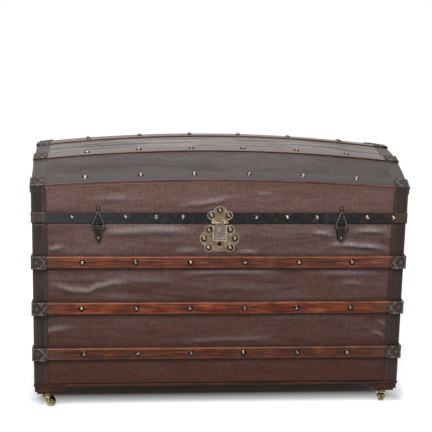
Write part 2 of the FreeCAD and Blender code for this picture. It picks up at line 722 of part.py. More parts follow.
def make_latches():
    y_plate = -skin_y - latch_plate
    y_pin = y_plate - latch_pin_stand
    z_pin = parting - latch_pin_drop
    y_arm = y_pin - latch_arm_reach
    z_arm = z_pin - latch_arm_offset
    ear_in = latch_half_width - latch_ear
    end_z = parting - latch_end_drop
    right = [(latch_half_width, parting - latch_top_drop), (latch_half_width, parting - latch_ear_drop),
             (latch_waist_half_width, parting - latch_waist_drop), (latch_end_radius, end_z)]
    outline = right + [(-x, z) for x, z in reversed(right)]
    plate = plate_y(outline, y_plate, -skin_y)
    tip = disc_y(latch_end_radius, 0, y_plate, -skin_y, end_z)
    ears = []
    for x in (ear_in, -latch_half_width):
        ears.append(rod_x(latch_ear_radius, x, x + latch_ear, y_pin, z_pin))
        ears.append(block(x, x + latch_ear, y_pin, -skin_y,
                          z_pin - latch_ear_radius, z_pin + latch_ear_radius))
    pin = rod_x(latch_pin_radius, -latch_half_width, latch_half_width, y_pin, z_pin)
    base = joined(plate, tip, *ears).cut(pin)

    hub = rod_x(lever_hub_radius, -lever_half_width, lever_half_width, y_pin, z_pin)
    boss = rod_x(loop_boss_radius, -lever_half_width, lever_half_width, y_arm, z_arm)
    arm_front = y_arm - lever_thickness / 2
    arm_back = arm_front + lever_thickness
    lever_z = z_pin - lever_length
    arm_top = z_pin - lever_hub_radius
    arm = plate_y([(-lever_half_width, arm_top), (lever_half_width, arm_top),
                   (lever_end_radius, lever_z), (-lever_end_radius, lever_z)], arm_front, arm_back)
    arm_tip = disc_y(lever_end_radius, 0, arm_front, arm_back, lever_z)
    arm_root = block(-lever_half_width, lever_half_width, y_arm, y_pin, z_arm, z_pin)
    stub_hole = rod_x(loop_stub_radius + running_gap, -lever_half_width, lever_half_width, y_arm, z_arm)
    pin_hole = rod_x(latch_pin_radius + running_gap, -lever_half_width, lever_half_width, y_pin, z_pin)
    lever = joined(hub, boss, arm, arm_tip, arm_root).cut([stub_hole, pin_hole])

    shoulder = z_arm + latch_arm_offset + loop_shoulder
    apex = parting + loop_rise
    points = [V(-loop_half_width, y_arm, z_arm), V(-loop_half_width, y_arm, shoulder), V(0, y_arm, apex),
              V(loop_half_width, y_arm, shoulder), V(loop_half_width, y_arm, z_arm)]
    path = Part.makePolygon(points)
    section = Part.Wire(Part.makeCircle(loop_radius, points[0], V(0, 0, 1)))
    wire = path.makePipeShell([section], True, False, 1)
    stub_in = lever_half_width - loop_stub_length
    stub = rod_x(loop_stub_radius, stub_in, loop_half_width, y_arm, z_arm)
    foot = Part.makeSphere(loop_radius, points[-1])
    loop = joined(wire, stub, foot, mirrored(stub, V(1, 0, 0)), mirrored(foot, V(1, 0, 0)))

    y_lid = -band_y
    y_catch = y_lid - latch_plate
    low = parting + latch_top_drop
    tip_z = parting + catch_rise
    right = [(catch_half_width, low), (catch_half_width, parting + catch_shoulder),
             (catch_neck_half_width, parting + catch_neck_rise), (catch_neck_half_width, tip_z)]
    catch = plate_y(right + [(-x, z) for x, z in reversed(right)], y_catch, y_lid)
    catch_tip = disc_y(catch_tip_radius, 0, y_catch, y_lid, tip_z)
    nib_low = parting + catch_nib_rise
    nib = block(-catch_nib_half_width, catch_nib_half_width, y_arm + loop_radius + latch_gap, y_catch,
                nib_low, nib_low + catch_nib_height)
    catch = joined(catch, catch_tip, nib)

    sides = {"left": latch_insets["left"] - half_width, "right": half_width - latch_insets["right"]}
    save("latch_bases", *[moved(solid, x, 0, 0) for x in sides.values() for solid in (base, pin)])
    save("latch_catches", *[moved(catch, x, 0, 0) for x in sides.values()])
    for side, x in sides.items():
        save("latch_lever_" + side, moved(lever, x, 0, 0))
        save("latch_loop_" + side, moved(loop, x, 0, 0))


def make_handles():
    x_pivot = -skin_x - handle_stand
    z_pivot = slat_levels[2] - slat_height / 2 - lug_below_slat - lug_radius
    z_grip = slat_levels[1] + slat_height / 2 + handle_over_slat + handle_radius
    handle_bend = handle_bend_share * (z_pivot - z_grip)
    turn = handle_bend * (1 - math.sqrt(0.5))
    near_leg = [V(x_pivot, -handle_half_width, z_pivot), V(x_pivot, -handle_half_width, z_grip + handle_bend)]
    far_leg = [V(x_pivot, handle_half_width, z_grip + handle_bend), V(x_pivot, handle_half_width, z_pivot)]
    grip = [V(x_pivot, handle_bend - handle_half_width, z_grip),
            V(x_pivot, handle_half_width - handle_bend, z_grip)]
    near_bow = V(x_pivot, turn - handle_half_width, z_grip + turn)
    far_bow = V(x_pivot, handle_half_width - turn, z_grip + turn)
    path = Part.Wire([Part.makeLine(*near_leg), Part.Arc(near_leg[1], near_bow, grip[0]).toShape(),
                      Part.makeLine(*grip), Part.Arc(grip[1], far_bow, far_leg[0]).toShape(),
                      Part.makeLine(*far_leg)])
    section = Part.Wire(Part.makeCircle(handle_radius, near_leg[0], V(0, 0, 1)))
    bar = path.makePipeShell([section], True, False)
    lugs = []
    stubs = []
    for side in (-1, 1):
        y_leg = side * handle_half_width
        knob = Part.makeSphere(handle_radius, V(x_pivot, y_leg, z_pivot))
        stub = Part.makeCylinder(handle_stub_radius, handle_radius + lug_gap + handle_stub_length,
                                 V(x_pivot, y_leg, z_pivot), V(0, side, 0))
        stubs.extend([knob, stub])
        y_eye = y_leg + side * (handle_radius + lug_gap)
        eye = Part.makeCylinder(lug_eye_radius, lug_eye_width, V(x_pivot, y_eye, z_pivot), V(0, side, 0))
        y_middle = y_eye + side * lug_eye_width / 2
        base = Part.makeCylinder(lug_radius, lug_thickness, V(-skin_x, y_middle, z_pivot), V(-1, 0, 0))
        y_far = y_eye + side * lug_eye_width
        neck = block(x_pivot, -skin_x, min(y_eye, y_far), max(y_eye, y_far),
                     z_pivot - lug_eye_radius, z_pivot + lug_eye_radius)
        hole = Part.makeCylinder(handle_stub_radius + running_gap, lug_eye_width,
                                 V(x_pivot, y_eye, z_pivot), V(0, side, 0))
        room = block(x_pivot - handle_stand, -skin_x - lug_thickness, min(y_leg, y_eye), max(y_leg, y_eye),
                     z_pivot - lug_radius, z_pivot + lug_radius)
        lugs.append(joined(base, neck, eye).cut([hole, room]))
    bail = joined(bar, *stubs)
    save("handle_lugs", *[each for lug in lugs for each in both_sides(lug)])
    save("end_handle_left", bail)
    save("end_handle_right", mirrored(bail, V(1, 0, 0)))


os.makedirs("parts", exist_ok=True)
make_carcass()
make_body_covering()
make_base()
save("castor_plates", *[make_castor(corner) for corner in corners])
make_body_slats()
make_lid_shell()
make_lid_bindings()
make_lid_slats()
make_hinges()
make_lock()
make_latches()
make_handles()
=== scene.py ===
import math
from functools import partial

import bmesh
import bpy
from mathutils import Matrix, Vector, noise


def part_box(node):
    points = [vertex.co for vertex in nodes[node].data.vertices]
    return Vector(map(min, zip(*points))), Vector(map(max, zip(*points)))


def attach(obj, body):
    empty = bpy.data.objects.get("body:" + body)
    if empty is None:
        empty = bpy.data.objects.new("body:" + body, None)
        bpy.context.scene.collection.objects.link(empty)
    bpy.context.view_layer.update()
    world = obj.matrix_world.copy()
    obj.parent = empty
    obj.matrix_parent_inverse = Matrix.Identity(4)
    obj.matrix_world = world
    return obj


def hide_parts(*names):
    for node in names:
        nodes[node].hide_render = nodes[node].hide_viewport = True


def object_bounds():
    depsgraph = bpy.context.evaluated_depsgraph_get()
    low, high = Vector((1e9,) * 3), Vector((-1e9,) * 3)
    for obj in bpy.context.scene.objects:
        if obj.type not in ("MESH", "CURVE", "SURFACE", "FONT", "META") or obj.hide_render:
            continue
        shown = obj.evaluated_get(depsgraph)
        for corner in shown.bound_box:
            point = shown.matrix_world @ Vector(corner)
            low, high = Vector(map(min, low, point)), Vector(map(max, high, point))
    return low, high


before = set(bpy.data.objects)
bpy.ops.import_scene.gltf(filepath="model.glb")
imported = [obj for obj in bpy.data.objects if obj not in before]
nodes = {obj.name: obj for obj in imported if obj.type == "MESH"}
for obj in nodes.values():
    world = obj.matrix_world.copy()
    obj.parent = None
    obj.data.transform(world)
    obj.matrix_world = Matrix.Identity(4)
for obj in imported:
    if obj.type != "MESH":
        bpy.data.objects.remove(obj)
cadLow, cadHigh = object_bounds()
mm = 0.001
print("frame loaded:", len(nodes), "nodes")

# The view: a long lens a little left of the middle, looking down on the lid.
cameraView = {
    "place": (-244.4, -2772.4, 1021.2), "yaw": 5.221, "pitch": 12.121, "roll": 1.232, "lens": 92.25,
    "sensor": 36.0}


def placeCamera(view):
    data = bpy.data.cameras.new("photoCamera")
    data.lens = view["lens"]
    data.sensor_width = view["sensor"]
    camera = bpy.data.objects.new("photoCamera", data)
    turn = Matrix.Rotation(math.radians(-view["yaw"]), 4, "Z")
    tilt = Matrix.Rotation(math.radians(90 - view["pitch"]), 4, "X")
    roll = Matrix.Rotation(math.radians(view["roll"]), 4, "Z")
    camera.matrix_world = Matrix.Translation(Vector(view["place"]) * mm) @ turn @ tilt @ roll
    bpy.context.scene.collection.objects.link(camera)
    bpy.context.scene.camera = camera


placeCamera(cameraView)


def hexColour(text):
    channels = [int(text[i:i + 2], 16) / 255 for i in (1, 3, 5)]
    linear = [c / 12.92 if c <= 0.04045 else ((c + 0.055) / 1.055) ** 2.4 for c in channels]
    return (*linear, 1.0)


def join(source, socket):
    # a node given as the source stands for the first output that it shows
    if isinstance(source, bpy.types.Node):
        source = next(output for output in source.outputs if output.enabled)
    socket.id_data.links.new(source, socket)


def addNode(tree, kind, settings=None, links=None):
    node = tree.nodes.new("ShaderNode" + kind)
    for key, value in (settings or {}).items():
        if key == "stops":
            ramp = node.color_ramp.elements
            ramp[0].position, ramp[-1].position = value[0][0], value[-1][0]
            for place, colour in value[1:-1]:
                ramp.new(place)
            for element, (place, colour) in zip(ramp, value):
                element.color = hexColour(colour)
        elif key == "range":
            for socket, part in zip(node.inputs[1:], value):
                socket.default_value = part
        elif isinstance(key, str) and hasattr(node, key):
            setattr(node, key, value)
        else:
            node.inputs[key].default_value = hexColour(value) if isinstance(value, str) else value
    for key, source in (links or {}).items():
        join(source, node.inputs[key])
    return node


def startMaterial(name):
    material = bpy.data.materials.new(name)
    material.use_nodes = True
    add = partial(addNode, material.node_tree)
    return material, add, add("TexCoord").outputs["Object"]


def stretchedNoise(add, place, sizes, along, settings):
    # noise with cells of two sizes in millimetres: the first across an axis, the second along it
    across, length = sizes
    scales = [1 / ((length if axis == along else across) * mm) for axis in range(3)]
    stretched = add("Mapping", {"Scale": scales}, {"Vector": place})
    return add("TexNoise", {"Scale": 1.0, **settings}, {"Vector": stretched})


def addTints(add, place, colour, tints):
    # each tint takes over between two places along an axis, in millimetres
    parts = add("SeparateXYZ", {}, {0: place}).outputs
    for tint, axis, start, end in tints:
        share = add("MapRange", {"range": (start * mm, end * mm)}, {"Value": parts[axis]})
        colour = add("Mix", {"data_type": "RGBA", 7: tint}, {0: share, 6: colour})
    return colour


def edgeWearAndHighlight(add, radius):
    # how close a point is to a sharp edge, where metal and wood are paler: rubbed, and a painted highlight
    rounded = add("Bevel", {"Radius": radius * mm, "samples": 4})
    flat = add("NewGeometry").outputs["Normal"]
    facing = add("VectorMath", {"operation": "DOT_PRODUCT"}, {0: rounded, 1: flat})
    return add("MapRange", {"range": (0.995, 0.92)}, {"Value": facing})


def finishSurface(material, add, look, colour, patches, height, bump):
    # the patches move the gloss between two roughnesses, and the height is raised by a strength and a depth
    gloss = add("MapRange", {"range": (0.3, 0.7, *look["roughness"])}, {"Value": patches})
    raised = add("Bump", {"Strength": bump[0], "Distance": bump[1] * mm}, {"Height": height})
    surface = material.node_tree.nodes["Principled BSDF"].inputs
    surface["Specular IOR Level"].default_value = look["specular"]
    surface["Metallic"].default_value = look.get("metallic", 0.0)
    for socket, source in (("Base Color", colour), ("Roughness", gloss), ("Normal", raised)):
        join(source, surface[socket])
    return material


def makeOilcloth(name, look):
    material, add, place = startMaterial(name)
    streaks = stretchedNoise(add, place, look["streak"], 2,
                             {"Detail": 5.0, "Roughness": 0.6, "Distortion": 0.6})
    warp = stretchedNoise(add, place, look["thread"], 2, {"Detail": 2.0})
    weft = stretchedNoise(add, place, look["thread"][::-1], 2, {"Detail": 2.0})
    clouds = add("TexNoise", {"Scale": 1 / (look["cloud"] * mm), "Detail": 4.0}, {"Vector": place})
    flecks = add("TexNoise", {"Scale": 1 / (look["fleck"] * mm), "Detail": 3.0, "Roughness": 0.7},
                 {"Vector": place})
    threads = add("Math", {"operation": "ADD"}, {0: warp, 1: weft})
    stops = [(0.32, look["dark"]), (0.50, look["brown"]), (0.70, look["grey"])]
    tone = add("ValToRGB", {"stops": stops}, {0: streaks})
    redShare = add("MapRange", {"range": (0.50, 0.72)}, {"Value": clouds})
    colour = add("Mix", {"data_type": "RGBA", 7: look["red"]}, {0: redShare, 6: tone})
    colour = addTints(add, place, colour, look["tints"])
    # the crests take a painted highlight in the sheen colour, and painted shade in the dark one
    for attribute, tint in (("crest", "sheen"), ("hollow", "dark")):
        share = add("Attribute", {"attribute_name": attribute}).outputs["Fac"]
        colour = add("Mix", {"data_type": "RGBA", 7: look[tint]}, {0: share, 6: colour})
    threadShade = add("MapRange", {"range": (0.75, 1.25, 0.86, 1.12)}, {"Value": threads})
    fleckShade = add("MapRange", {"range": (0.3, 0.7, 0.72, 1.26)}, {"Value": flecks})
    shade = add("Math", {"operation": "MULTIPLY"}, {0: threadShade, 1: fleckShade})
    woven = add("Mix", {"data_type": "RGBA", "blend_type": "MULTIPLY", 0: 1.0}, {6: colour, 7: shade})
    return finishSurface(material, add, look, woven, clouds, threads, (0.4, 0.3))


# Oilcloth: cotton duck, painted and oiled. A dull purple brown in long soft streaks, with rusty clouds.
# Each fold's crest takes a painted highlight and the trough below it painted shade. The tints make it
# a darker, redder brown towards the floor, paler towards the top as a painted sheen, and redder on the lid.
# The threads of such cloth are under 1 mm, so they are drawn about three times as coarse to show at all.
clothLook = {
    "dark": "#402e2b", "brown": "#5b4541", "grey": "#665755", "red": "#60413a", "sheen": "#918482",
    "streak": (170, 24), "cloud": 70, "fleck": 6, "thread": (2.6, 40),
    "tints": [("#482b21", "Z", 430, 90), ("#735b56", "Z", 365, 700), ("#5f4238", "Z", 440, 680)],
    "roughness": (0.42, 0.56), "specular": 0.12}
bodyOilcloth = makeOilcloth("bodyOilcloth", clothLook)
# The lid's top is drawn greyer than the walls, a painted sheen. It is seen along its surface, so it looks
# hazier.
domeOilcloth = makeOilcloth("domeOilcloth", {
    **clothLook, "dark": "#2e2825", "brown": "#423a37", "grey": "#524b4a", "red": "#473e37",
    "sheen": "#8f8786", "streak": (200, 40), "tints": [], "roughness": (0.42, 0.52), "specular": 0.25})


def makeWood(name, look, along=0):
    material, add, place = startMaterial(name)
    pores = stretchedNoise(add, place, look["pore"], along, {"Detail": 5.0, "Roughness": 0.65})
    bands = stretchedNoise(add, place, look["figure"], along, {"Detail": 3.0, "Distortion": 1.2})
    patches = add("TexNoise", {"Scale": 1 / (look["patch"] * mm), "Detail": 4.0}, {"Vector": place})
    grain = add("Math", {"operation": "MULTIPLY_ADD", 1: 0.55}, {0: bands, 2: pores})
    stops = [(0.56, look["dark"]), (0.77, look["mid"]), (0.97, look["light"])]
    tone = add("ValToRGB", {"stops": stops}, {0: grain})
    shade = add("MapRange", {"range": (0.32, 0.68, *look["shade"])}, {"Value": patches})
    patched = add("Mix", {"data_type": "RGBA", "blend_type": "MULTIPLY", 0: 1.0}, {6: tone, 7: shade})
    weather = add("Attribute", {"attribute_name": "weather"}).outputs["Fac"]
    greyed = add("Mix", {"data_type": "RGBA", 7: look["grey"]}, {0: weather, 6: patched})
    wear = edgeWearAndHighlight(add, look["edge"]) if "edge" in look else add(
        "Attribute", {"attribute_name": "wear"}).outputs["Fac"]
    wearShare = add("Math", {"operation": "MULTIPLY"}, {0: wear, 1: patches})
    wornAndHighlit = add("Mix", {"data_type": "RGBA", 7: look["wornAndHighlit"]}, {0: wearShare, 6: greyed})
    return finishSurface(material, add, look, wornAndHighlit, patches, pores, (0.45, 0.25))


# Ash slats, stained red brown and varnished: long dark pores, orange and red patches, and pale edges, partly
# rubbed and partly a painted highlight.
# The tops of the lid's slats are drawn greyer, a painted sheen of the light along them.
slatLook = {
    "dark": "#2a120c", "mid": "#64301f", "light": "#8e4e2f", "wornAndHighlit": "#9a6d59", "grey": "#50453f",
    "pore": (3.4, 70), "figure": (9, 70), "patch": 38, "shade": (0.6, 1.3),
    "roughness": (0.34, 0.52), "specular": 0.12}
slatAsh = makeWood("slatAsh", slatLook)
# The lowest slat is drawn darker. The bent ones on the lid carry a painted sheen on their tops; the steep
# edge rows, which catch less of it, are a redder copy with a darker top.
lowSlatAsh = makeWood("lowSlatAsh", {**slatLook, "dark": "#1f0e09", "mid": "#4f271a", "light": "#6f3b24"})
bentLook = {
    **slatLook, "dark": "#1c0a07", "mid": "#3f1912", "light": "#5c291d", "wornAndHighlit": "#8a7d76", "grey": "#6f6763",
    "roughness": (0.40, 0.50), "specular": 0.3}
bentSlatAsh = makeWood("bentSlatAsh", bentLook)
edgeSlatAsh = makeWood("edgeSlatAsh", {
    **bentLook, "dark": "#3a150f", "mid": "#6e3023", "light": "#8f4f3d", "grey": "#3f3835"})
# The plinth and feet are of the same wood, paler within so many millimetres of their edges: partly rubbed,
# partly a painted highlight.
baseAsh = makeWood("baseAsh", {
    **slatLook, "dark": "#23130f", "mid": "#39211a", "light": "#4a2b21", "wornAndHighlit": "#8a5638", "edge": 1.6})
# Pine boards inside: pale straw yellow gone brown, with soft grain.
pineLook = {
    **slatLook, "dark": "#7c5a3a", "mid": "#9d7a52", "light": "#b3946a", "wornAndHighlit": "#b3946a",
    "pore": (4.0, 180), "figure": (26, 420), "patch": 240, "shade": (0.85, 1.1), "roughness": (0.55, 0.75)}
pineAlong = makeWood("pineAlong", pineLook)
pineAcross = makeWood("pineAcross", pineLook, 1)


def makeLeather(name, look):
    material, add, place = startMaterial(name)
    pebbles = add("TexVoronoi", {"Scale": 1 / (look["pebble"] * mm)}, {"Vector": place})
    clouds = add("TexNoise", {"Scale": 1 / (look["cloud"] * mm), "Detail": 5.0}, {"Vector": place})
    creases = stretchedNoise(add, place, look["crease"], 2, {"Detail": 4.0})
    tone = add("ValToRGB", {"stops": [(0.38, look["dark"]), (0.62, look["brown"])]}, {0: creases})
    tinted = addTints(add, place, tone, look["tints"])
    wear = add("Attribute", {"attribute_name": "wear"}).outputs["Fac"]
    wearShare = add("Math", {"operation": "MULTIPLY"}, {0: wear, 1: clouds})
    wornAndHighlit = add("Mix", {"data_type": "RGBA", 7: look["wornAndHighlit"]}, {0: wearShare, 6: tinted})
    return finishSurface(material, add, look, wornAndHighlit, clouds, pebbles, (0.5, 0.3))


# Blackened harness leather: a pebbled near-black with browner rubbed places.
leatherLook = {
    "dark": "#191514", "brown": "#372d2a", "wornAndHighlit": "#5c4a42", "pebble": 2.2, "cloud": 60, "crease": (6, 110),
    "tints": [("#30221d", "X", 250, 520), ("#35241c", "Z", 230, 80)],
    "roughness": (0.46, 0.64), "specular": 0.2}
blackLeather = makeLeather("blackLeather", leatherLook)
# The leather over the ends of the dome, drawn paler like the cloth beside it, a painted sheen.
paleLeather = makeLeather("paleLeather", {
    **leatherLook, "dark": "#38322f", "brown": "#463f3b", "wornAndHighlit": "#605752", "tints": [],
    "roughness": (0.42, 0.52), "specular": 0.35})
# The turned ends of the rim band's cover, and the waxed thread, with a painted highlight where it goes into
# the leather.
wrapLeather = makeLeather("wrapLeather", {
    **leatherLook, "dark": "#382f2d", "brown": "#4b403c", "tints": [("#42302b", "X", 0, 400)]})
waxedThread = makeLeather("waxedThread", {
    **leatherLook, "dark": "#29211f", "brown": "#38302c", "wornAndHighlit": "#564c46", "pebble": 1.2})


def makeMetal(name, look):
    material, add, place = startMaterial(name)
    mottle = add("TexNoise", {"Scale": 1 / (look["mottle"] * mm), "Detail": 6.0, "Roughness": 0.6},
                 {"Vector": place})
    wear = add("Attribute", {"attribute_name": "wear"}).outputs["Fac"]
    if "edge" in look:
        wear = add("Math", {"operation": "MAXIMUM"}, {0: wear, 1: edgeWearAndHighlight(add, look["edge"])})
    blotch = add("MapRange", {"range": (0.34, 0.66, *look["blotch"])}, {"Value": mottle})
    level = add("Math", {"operation": "MULTIPLY_ADD", 1: 0.5}, {0: wear, 2: blotch})
    stops = [(0.30, look["dark"]), (0.58, look["mid"]), (1.0, look["light"])]
    tone = add("ValToRGB", {"stops": stops}, {0: level})
    colour = addTints(add, place, tone, look.get("tints", []))
    # painted shade round the keyhole
    if "keyholeShade" in look:
        keyholeShade, x, z, start, end = look["keyholeShade"]
        flat = add("VectorMath", {"operation": "MULTIPLY", 1: (1, 0, 1)}, {0: place})
        away = add("VectorMath", {"operation": "DISTANCE", 1: (x * mm, 0, z * mm)}, {0: flat})
        share = add("MapRange", {"range": (end * mm, start * mm)}, {"Value": away})
        colour = add("Mix", {"data_type": "RGBA", 7: keyholeShade}, {0: share, 6: colour})
    return finishSurface(material, add, look, colour, mottle, mottle, (0.25, 0.2))


# Cast brass, tarnished: olive brown in the hollows and paler where hands and cloths have rubbed it, with a
# painted highlight along its edges.
brassLook = {
    "dark": "#54463a", "mid": "#7d6a55", "light": "#d9ccb5", "mottle": 14, "blotch": (0.32, 0.66),
    "edge": 1.7, "metallic": 1.0, "roughness": (0.52, 0.36), "specular": 0.5}
tarnishedBrass = makeMetal("tarnishedBrass", brassLook)
# A dark ring is painted round the keyhole, painted shade of the hole: its colour, x and z, and where it
# starts and ends to fade.
lockBrass = makeMetal("lockBrass", {**brassLook, "keyholeShade": ("#2b2017", -4.5, 410.5, 4.0, 6.5)})
# The hasp is a later, greyer casting, and the castors are the brightest.
haspBrass = makeMetal("haspBrass", {
    **brassLook, "dark": "#5a514a", "mid": "#73685f", "light": "#bfb6aa", "edge": 1.0})
castorBrass = makeMetal("castorBrass", {
    **brassLook, "dark": "#3a2f1e", "mid": "#85754f", "light": "#e0d2ae", "blotch": (0.2, 0.8),
    "roughness": (0.30, 0.16), "edge": 0.9})
# Domed nail heads of brassed steel: black round the rim, and bright at the crown, a painted highlight.
nailLook = {
    "dark": "#0e0b09", "mid": "#39302a", "light": "#8f8479", "mottle": 5, "blotch": (0.2, 0.8),
    "metallic": 1.0, "roughness": (0.40, 0.26), "specular": 0.5}
nailBrass = makeMetal("nailBrass", nailLook)
bandNailBrass = makeMetal("bandNailBrass", {
    **nailLook, "dark": "#1a1512", "mid": "#5d544c", "light": "#a3988b"})
# The lock's rivets and the ends of the latch levers are duller.
rivetBrass = makeMetal("rivetBrass", {
    **nailLook, "dark": "#17110d", "mid": "#5a4e43", "light": "#948877", "roughness": (0.50, 0.40)})
knobIron = makeMetal("knobIron", {
    **nailLook, "dark": "#141210", "mid": "#3d3834", "light": "#756e67", "roughness": (0.50, 0.38)})
# Wrought and stamped iron under old black japan, and the bare wire of the latch loops.
ironLook = {
    "dark": "#131211", "mid": "#282521", "light": "#77706a", "mottle": 8, "blotch": (0.3, 0.62),
    "edge": 0.8, "metallic": 0.8, "roughness": (0.50, 0.32), "specular": 0.5}
blackIron = makeMetal("blackIron", ironLook)
wireIron = makeMetal("wireIron", {**ironLook, "dark": "#33302d", "mid": "#69645f", "light": "#b3ada5"})
# The rim band's japan is drawn slate grey towards the left end and brown towards the right.
bandIron = makeMetal("bandIron", {
    **ironLook, "dark": "#0a0b0b", "mid": "#191919", "light": "#322e2b", "mottle": 16, "blotch": (0.1, 0.9),
    "edge": 1.2, "metallic": 0.0, "roughness": (0.56, 0.36), "specular": 0.17,
    "tints": [("#3b3c3e", "X", -90, -600), ("#2b1f1b", "X", 290, 480)]})
# Malleable iron castings: black in the hollows, grey where the relief is rubbed.
castIron = makeMetal("castIron", {
    "dark": "#140f0d", "mid": "#32241f", "light": "#715f56", "mottle": 6, "blotch": (0.16, 0.54),
    "metallic": 0.3, "roughness": (0.55, 0.36), "specular": 0.4})
print("materials made:", len(bpy.data.materials))

# The dome: arched along the trunk and across it, in millimetres over the parting line.
domeForm = {"crest": 168.5, "endFall": 27.0, "frontFall": 69.0, "cornerFall": 59.0, "canvas": 1.2}
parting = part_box("lid_front_rail")[0].z
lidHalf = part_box("lid_front_rail")[1].x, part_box("lid_back_rail")[1].y
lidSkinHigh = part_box("lid_canvas")[1]
bandLow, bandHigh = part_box("lid_rim_band")
slatRows = {row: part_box("front_slat_" + row) for row in ("lower", "middle", "upper")}


def domeLevel(x, y):
    xShare, yShare = (x / lidHalf[0]) ** 2, (y / lidHalf[1]) ** 2
    fall = domeForm["frontFall"] - (domeForm["frontFall"] - domeForm["cornerFall"]) * xShare
    return parting + (domeForm["crest"] - domeForm["endFall"] * xShare - fall * yShare) * mm


def domeNormal(y):
    slope = -2 * domeForm["frontFall"] * mm * y / lidHalf[1] ** 2
    return Vector((0, -slope, 1)).normalized()


def atParting(x, y):
    return parting


def smoothStep(value):
    value = min(1.0, max(0.0, value))
    return value * value * (3 - 2 * value)


def hump(value, middle, spread):
    return math.exp(-((value - middle) / spread) ** 2)


def boxMatrix(low, high):
    return Matrix.Translation((low + high) / 2) @ Matrix.Diagonal((*(high - low), 1.0))


def startPiece(*attributes):
    bm = bmesh.new()
    return bm, *[bm.verts.layers.float.new(attribute) for attribute in attributes]


def startGrid(cells, *attributes, matrix=Matrix()):
    bm, *layers = startPiece(*attributes)
    bmesh.ops.create_grid(bm, x_segments=cells[0], y_segments=cells[1], size=1.0, matrix=matrix)
    return bm, *layers


def runsAlong(edge, axis):
    return abs((edge.verts[1].co - edge.verts[0].co).normalized()[axis]) > 0.9


def cutAlong(bm, axis, cuts):
    edges = [edge for edge in bm.edges if runsAlong(edge, axis)]
    bmesh.ops.subdivide_edges(bm, edges=edges, cuts=cuts, use_grid_fill=True)


def faceOut(bm, outer):
    bmesh.ops.recalc_face_normals(bm, faces=bm.faces)
    if sum(face.normal.dot(Vector(outer)) for face in bm.faces) < 0:
        bmesh.ops.reverse_faces(bm, faces=bm.faces)


def softenEdges(bm, edges, offset, segments):
    bmesh.ops.bevel(bm, geom=edges, offset=offset, offset_type="OFFSET", segments=segments, profile=0.5,
                    affect="EDGES", material=-1)


def toTemplate(bm, name):
    mesh = bpy.data.meshes.new(name)
    bm.to_mesh(mesh)
    bm.free()
    return mesh


def finishPiece(bm, name, body, material, replaced=(), sharp=40, thickness=0.0):
    mesh = toTemplate(bm, name)
    mesh.materials.append(material)
    mesh.shade_smooth()
    mesh.set_sharp_from_angle(angle=math.radians(sharp))
    piece = bpy.data.objects.new(name, mesh)
    bpy.context.scene.collection.objects.link(piece)
    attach(piece, body)
    if replaced:
        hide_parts(*replaced)
    if thickness:
        wall = piece.modifiers.new("thickness", "SOLIDIFY")
        wall.thickness = thickness * mm
        wall.offset = -1.0
    return piece


def stamp(bm, template, matrices):
    # a matrix that mirrors turns the faces round, so they are turned back
    for matrix in matrices:
        first, firstFace = len(bm.verts), len(bm.faces)
        bm.from_mesh(template)
        bm.verts.ensure_lookup_table()
        bm.faces.ensure_lookup_table()
        bmesh.ops.transform(bm, matrix=matrix, verts=bm.verts[first:])
        if matrix.determinant() < 0:
            bmesh.ops.reverse_faces(bm, faces=bm.faces[firstFace:])


def copied(bm, matrices):
    copies = bmesh.new()
    stamp(copies, toTemplate(bm, "template"), matrices)
    return copies


fourCorners = [Matrix.Diagonal((x, y, 1, 1)) for x in (1, -1) for y in (1, -1)]
bothEnds = [Matrix.Diagonal((x, 1, 1, 1)) for x in (1, -1)]


def rippleAt(along, across, waves, seed, fineSeed):
    # slow waves with finer ones on them: the lengths of both, then the finer ones' share
    (slowLong, slowShort), (fineLong, fineShort), share = waves
    return (noise.noise(Vector((along / slowLong, across / slowShort, seed)))
            + share * noise.noise(Vector((along / fineLong, across / fineShort, fineSeed))))


# The cloth walls: stretched on the boards, with the folds that years of damp have raised.
clothForm = {
    "thickness": 1.2, "cellLong": 7.0, "cellTall": 4.5, "ripple": 1.1, "pillow": 0.7, "hold": 9.0,
    "corner": 30.0, "rippleSheen": 0.05, "rippleShade": 0.2, "heldShade": 0.45,
    "waves": ((110, 17), (40, 9), 0.5), "seeds": {"front": 3.0, "back": 11.0, "end": 23.0}}
# A fold hangs, so it is steeper below. The painted highlight on its crest and the painted shade in the trough
# below it have a middle, a spread and a greatest share.
foldForm = {
    "fade": 70.0, "below": 1.5, "above": 0.8, "tallest": 5.6, "crest": (0.3, 0.75, 0.85),
    "hollow": (-1.0, 0.6, 0.75)}
# Each fold is a height, a width and a line of x and z points on the front, in millimetres.
frontFolds = [
    (3.5, 11, [(-300, 434), (-261, 438), (-150, 442), (-51, 440)]),
    (4.2, 6, [(-412, 396), (-406, 396), (-360, 404)]),
    (2.4, 9, [(-120, 392), (-69, 394), (-40, 392)]),
    (4.2, 7, [(200, 440), (236, 436), (280, 428)]),
    (4.8, 8, [(300, 438), (350, 442), (412, 440)]),
    (5.6, 7, [(238, 404), (256, 406), (295, 408), (343, 404), (417, 396)]),
    (3.6, 6, [(25, 390), (60, 390), (100, 388)]),
    (3.6, 8, [(-412, 314), (-399, 312), (-347, 298), (-313, 296), (-287, 308), (-251, 316), (-190, 319)]),
    (1.4, 8, [(-260, 316), (-177, 320), (-90, 322)]),
    (2.0, 6, [(-110, 326), (-59, 338), (-2, 340), (160, 340)]),
    (2.0, 6, [(225, 338), (262, 336), (340, 336), (412, 334)]),
    (2.0, 8, [(275, 310), (311, 314), (360, 306)]),
    (0.8, 8, [(-300, 280), (-246, 284), (-190, 278)]),
    (3.0, 8, [(-470, 186), (-412, 197), (-380, 203), (-330, 208)]),
    (1.5, 6, [(-100, 168), (-43, 172), (2, 174), (103, 176), (150, 174)]),
    (2.7, 5, [(375, 220), (395, 214), (413, 204)]),
    (3.1, 5, [(360, 196), (384, 188), (413, 174)]),
]
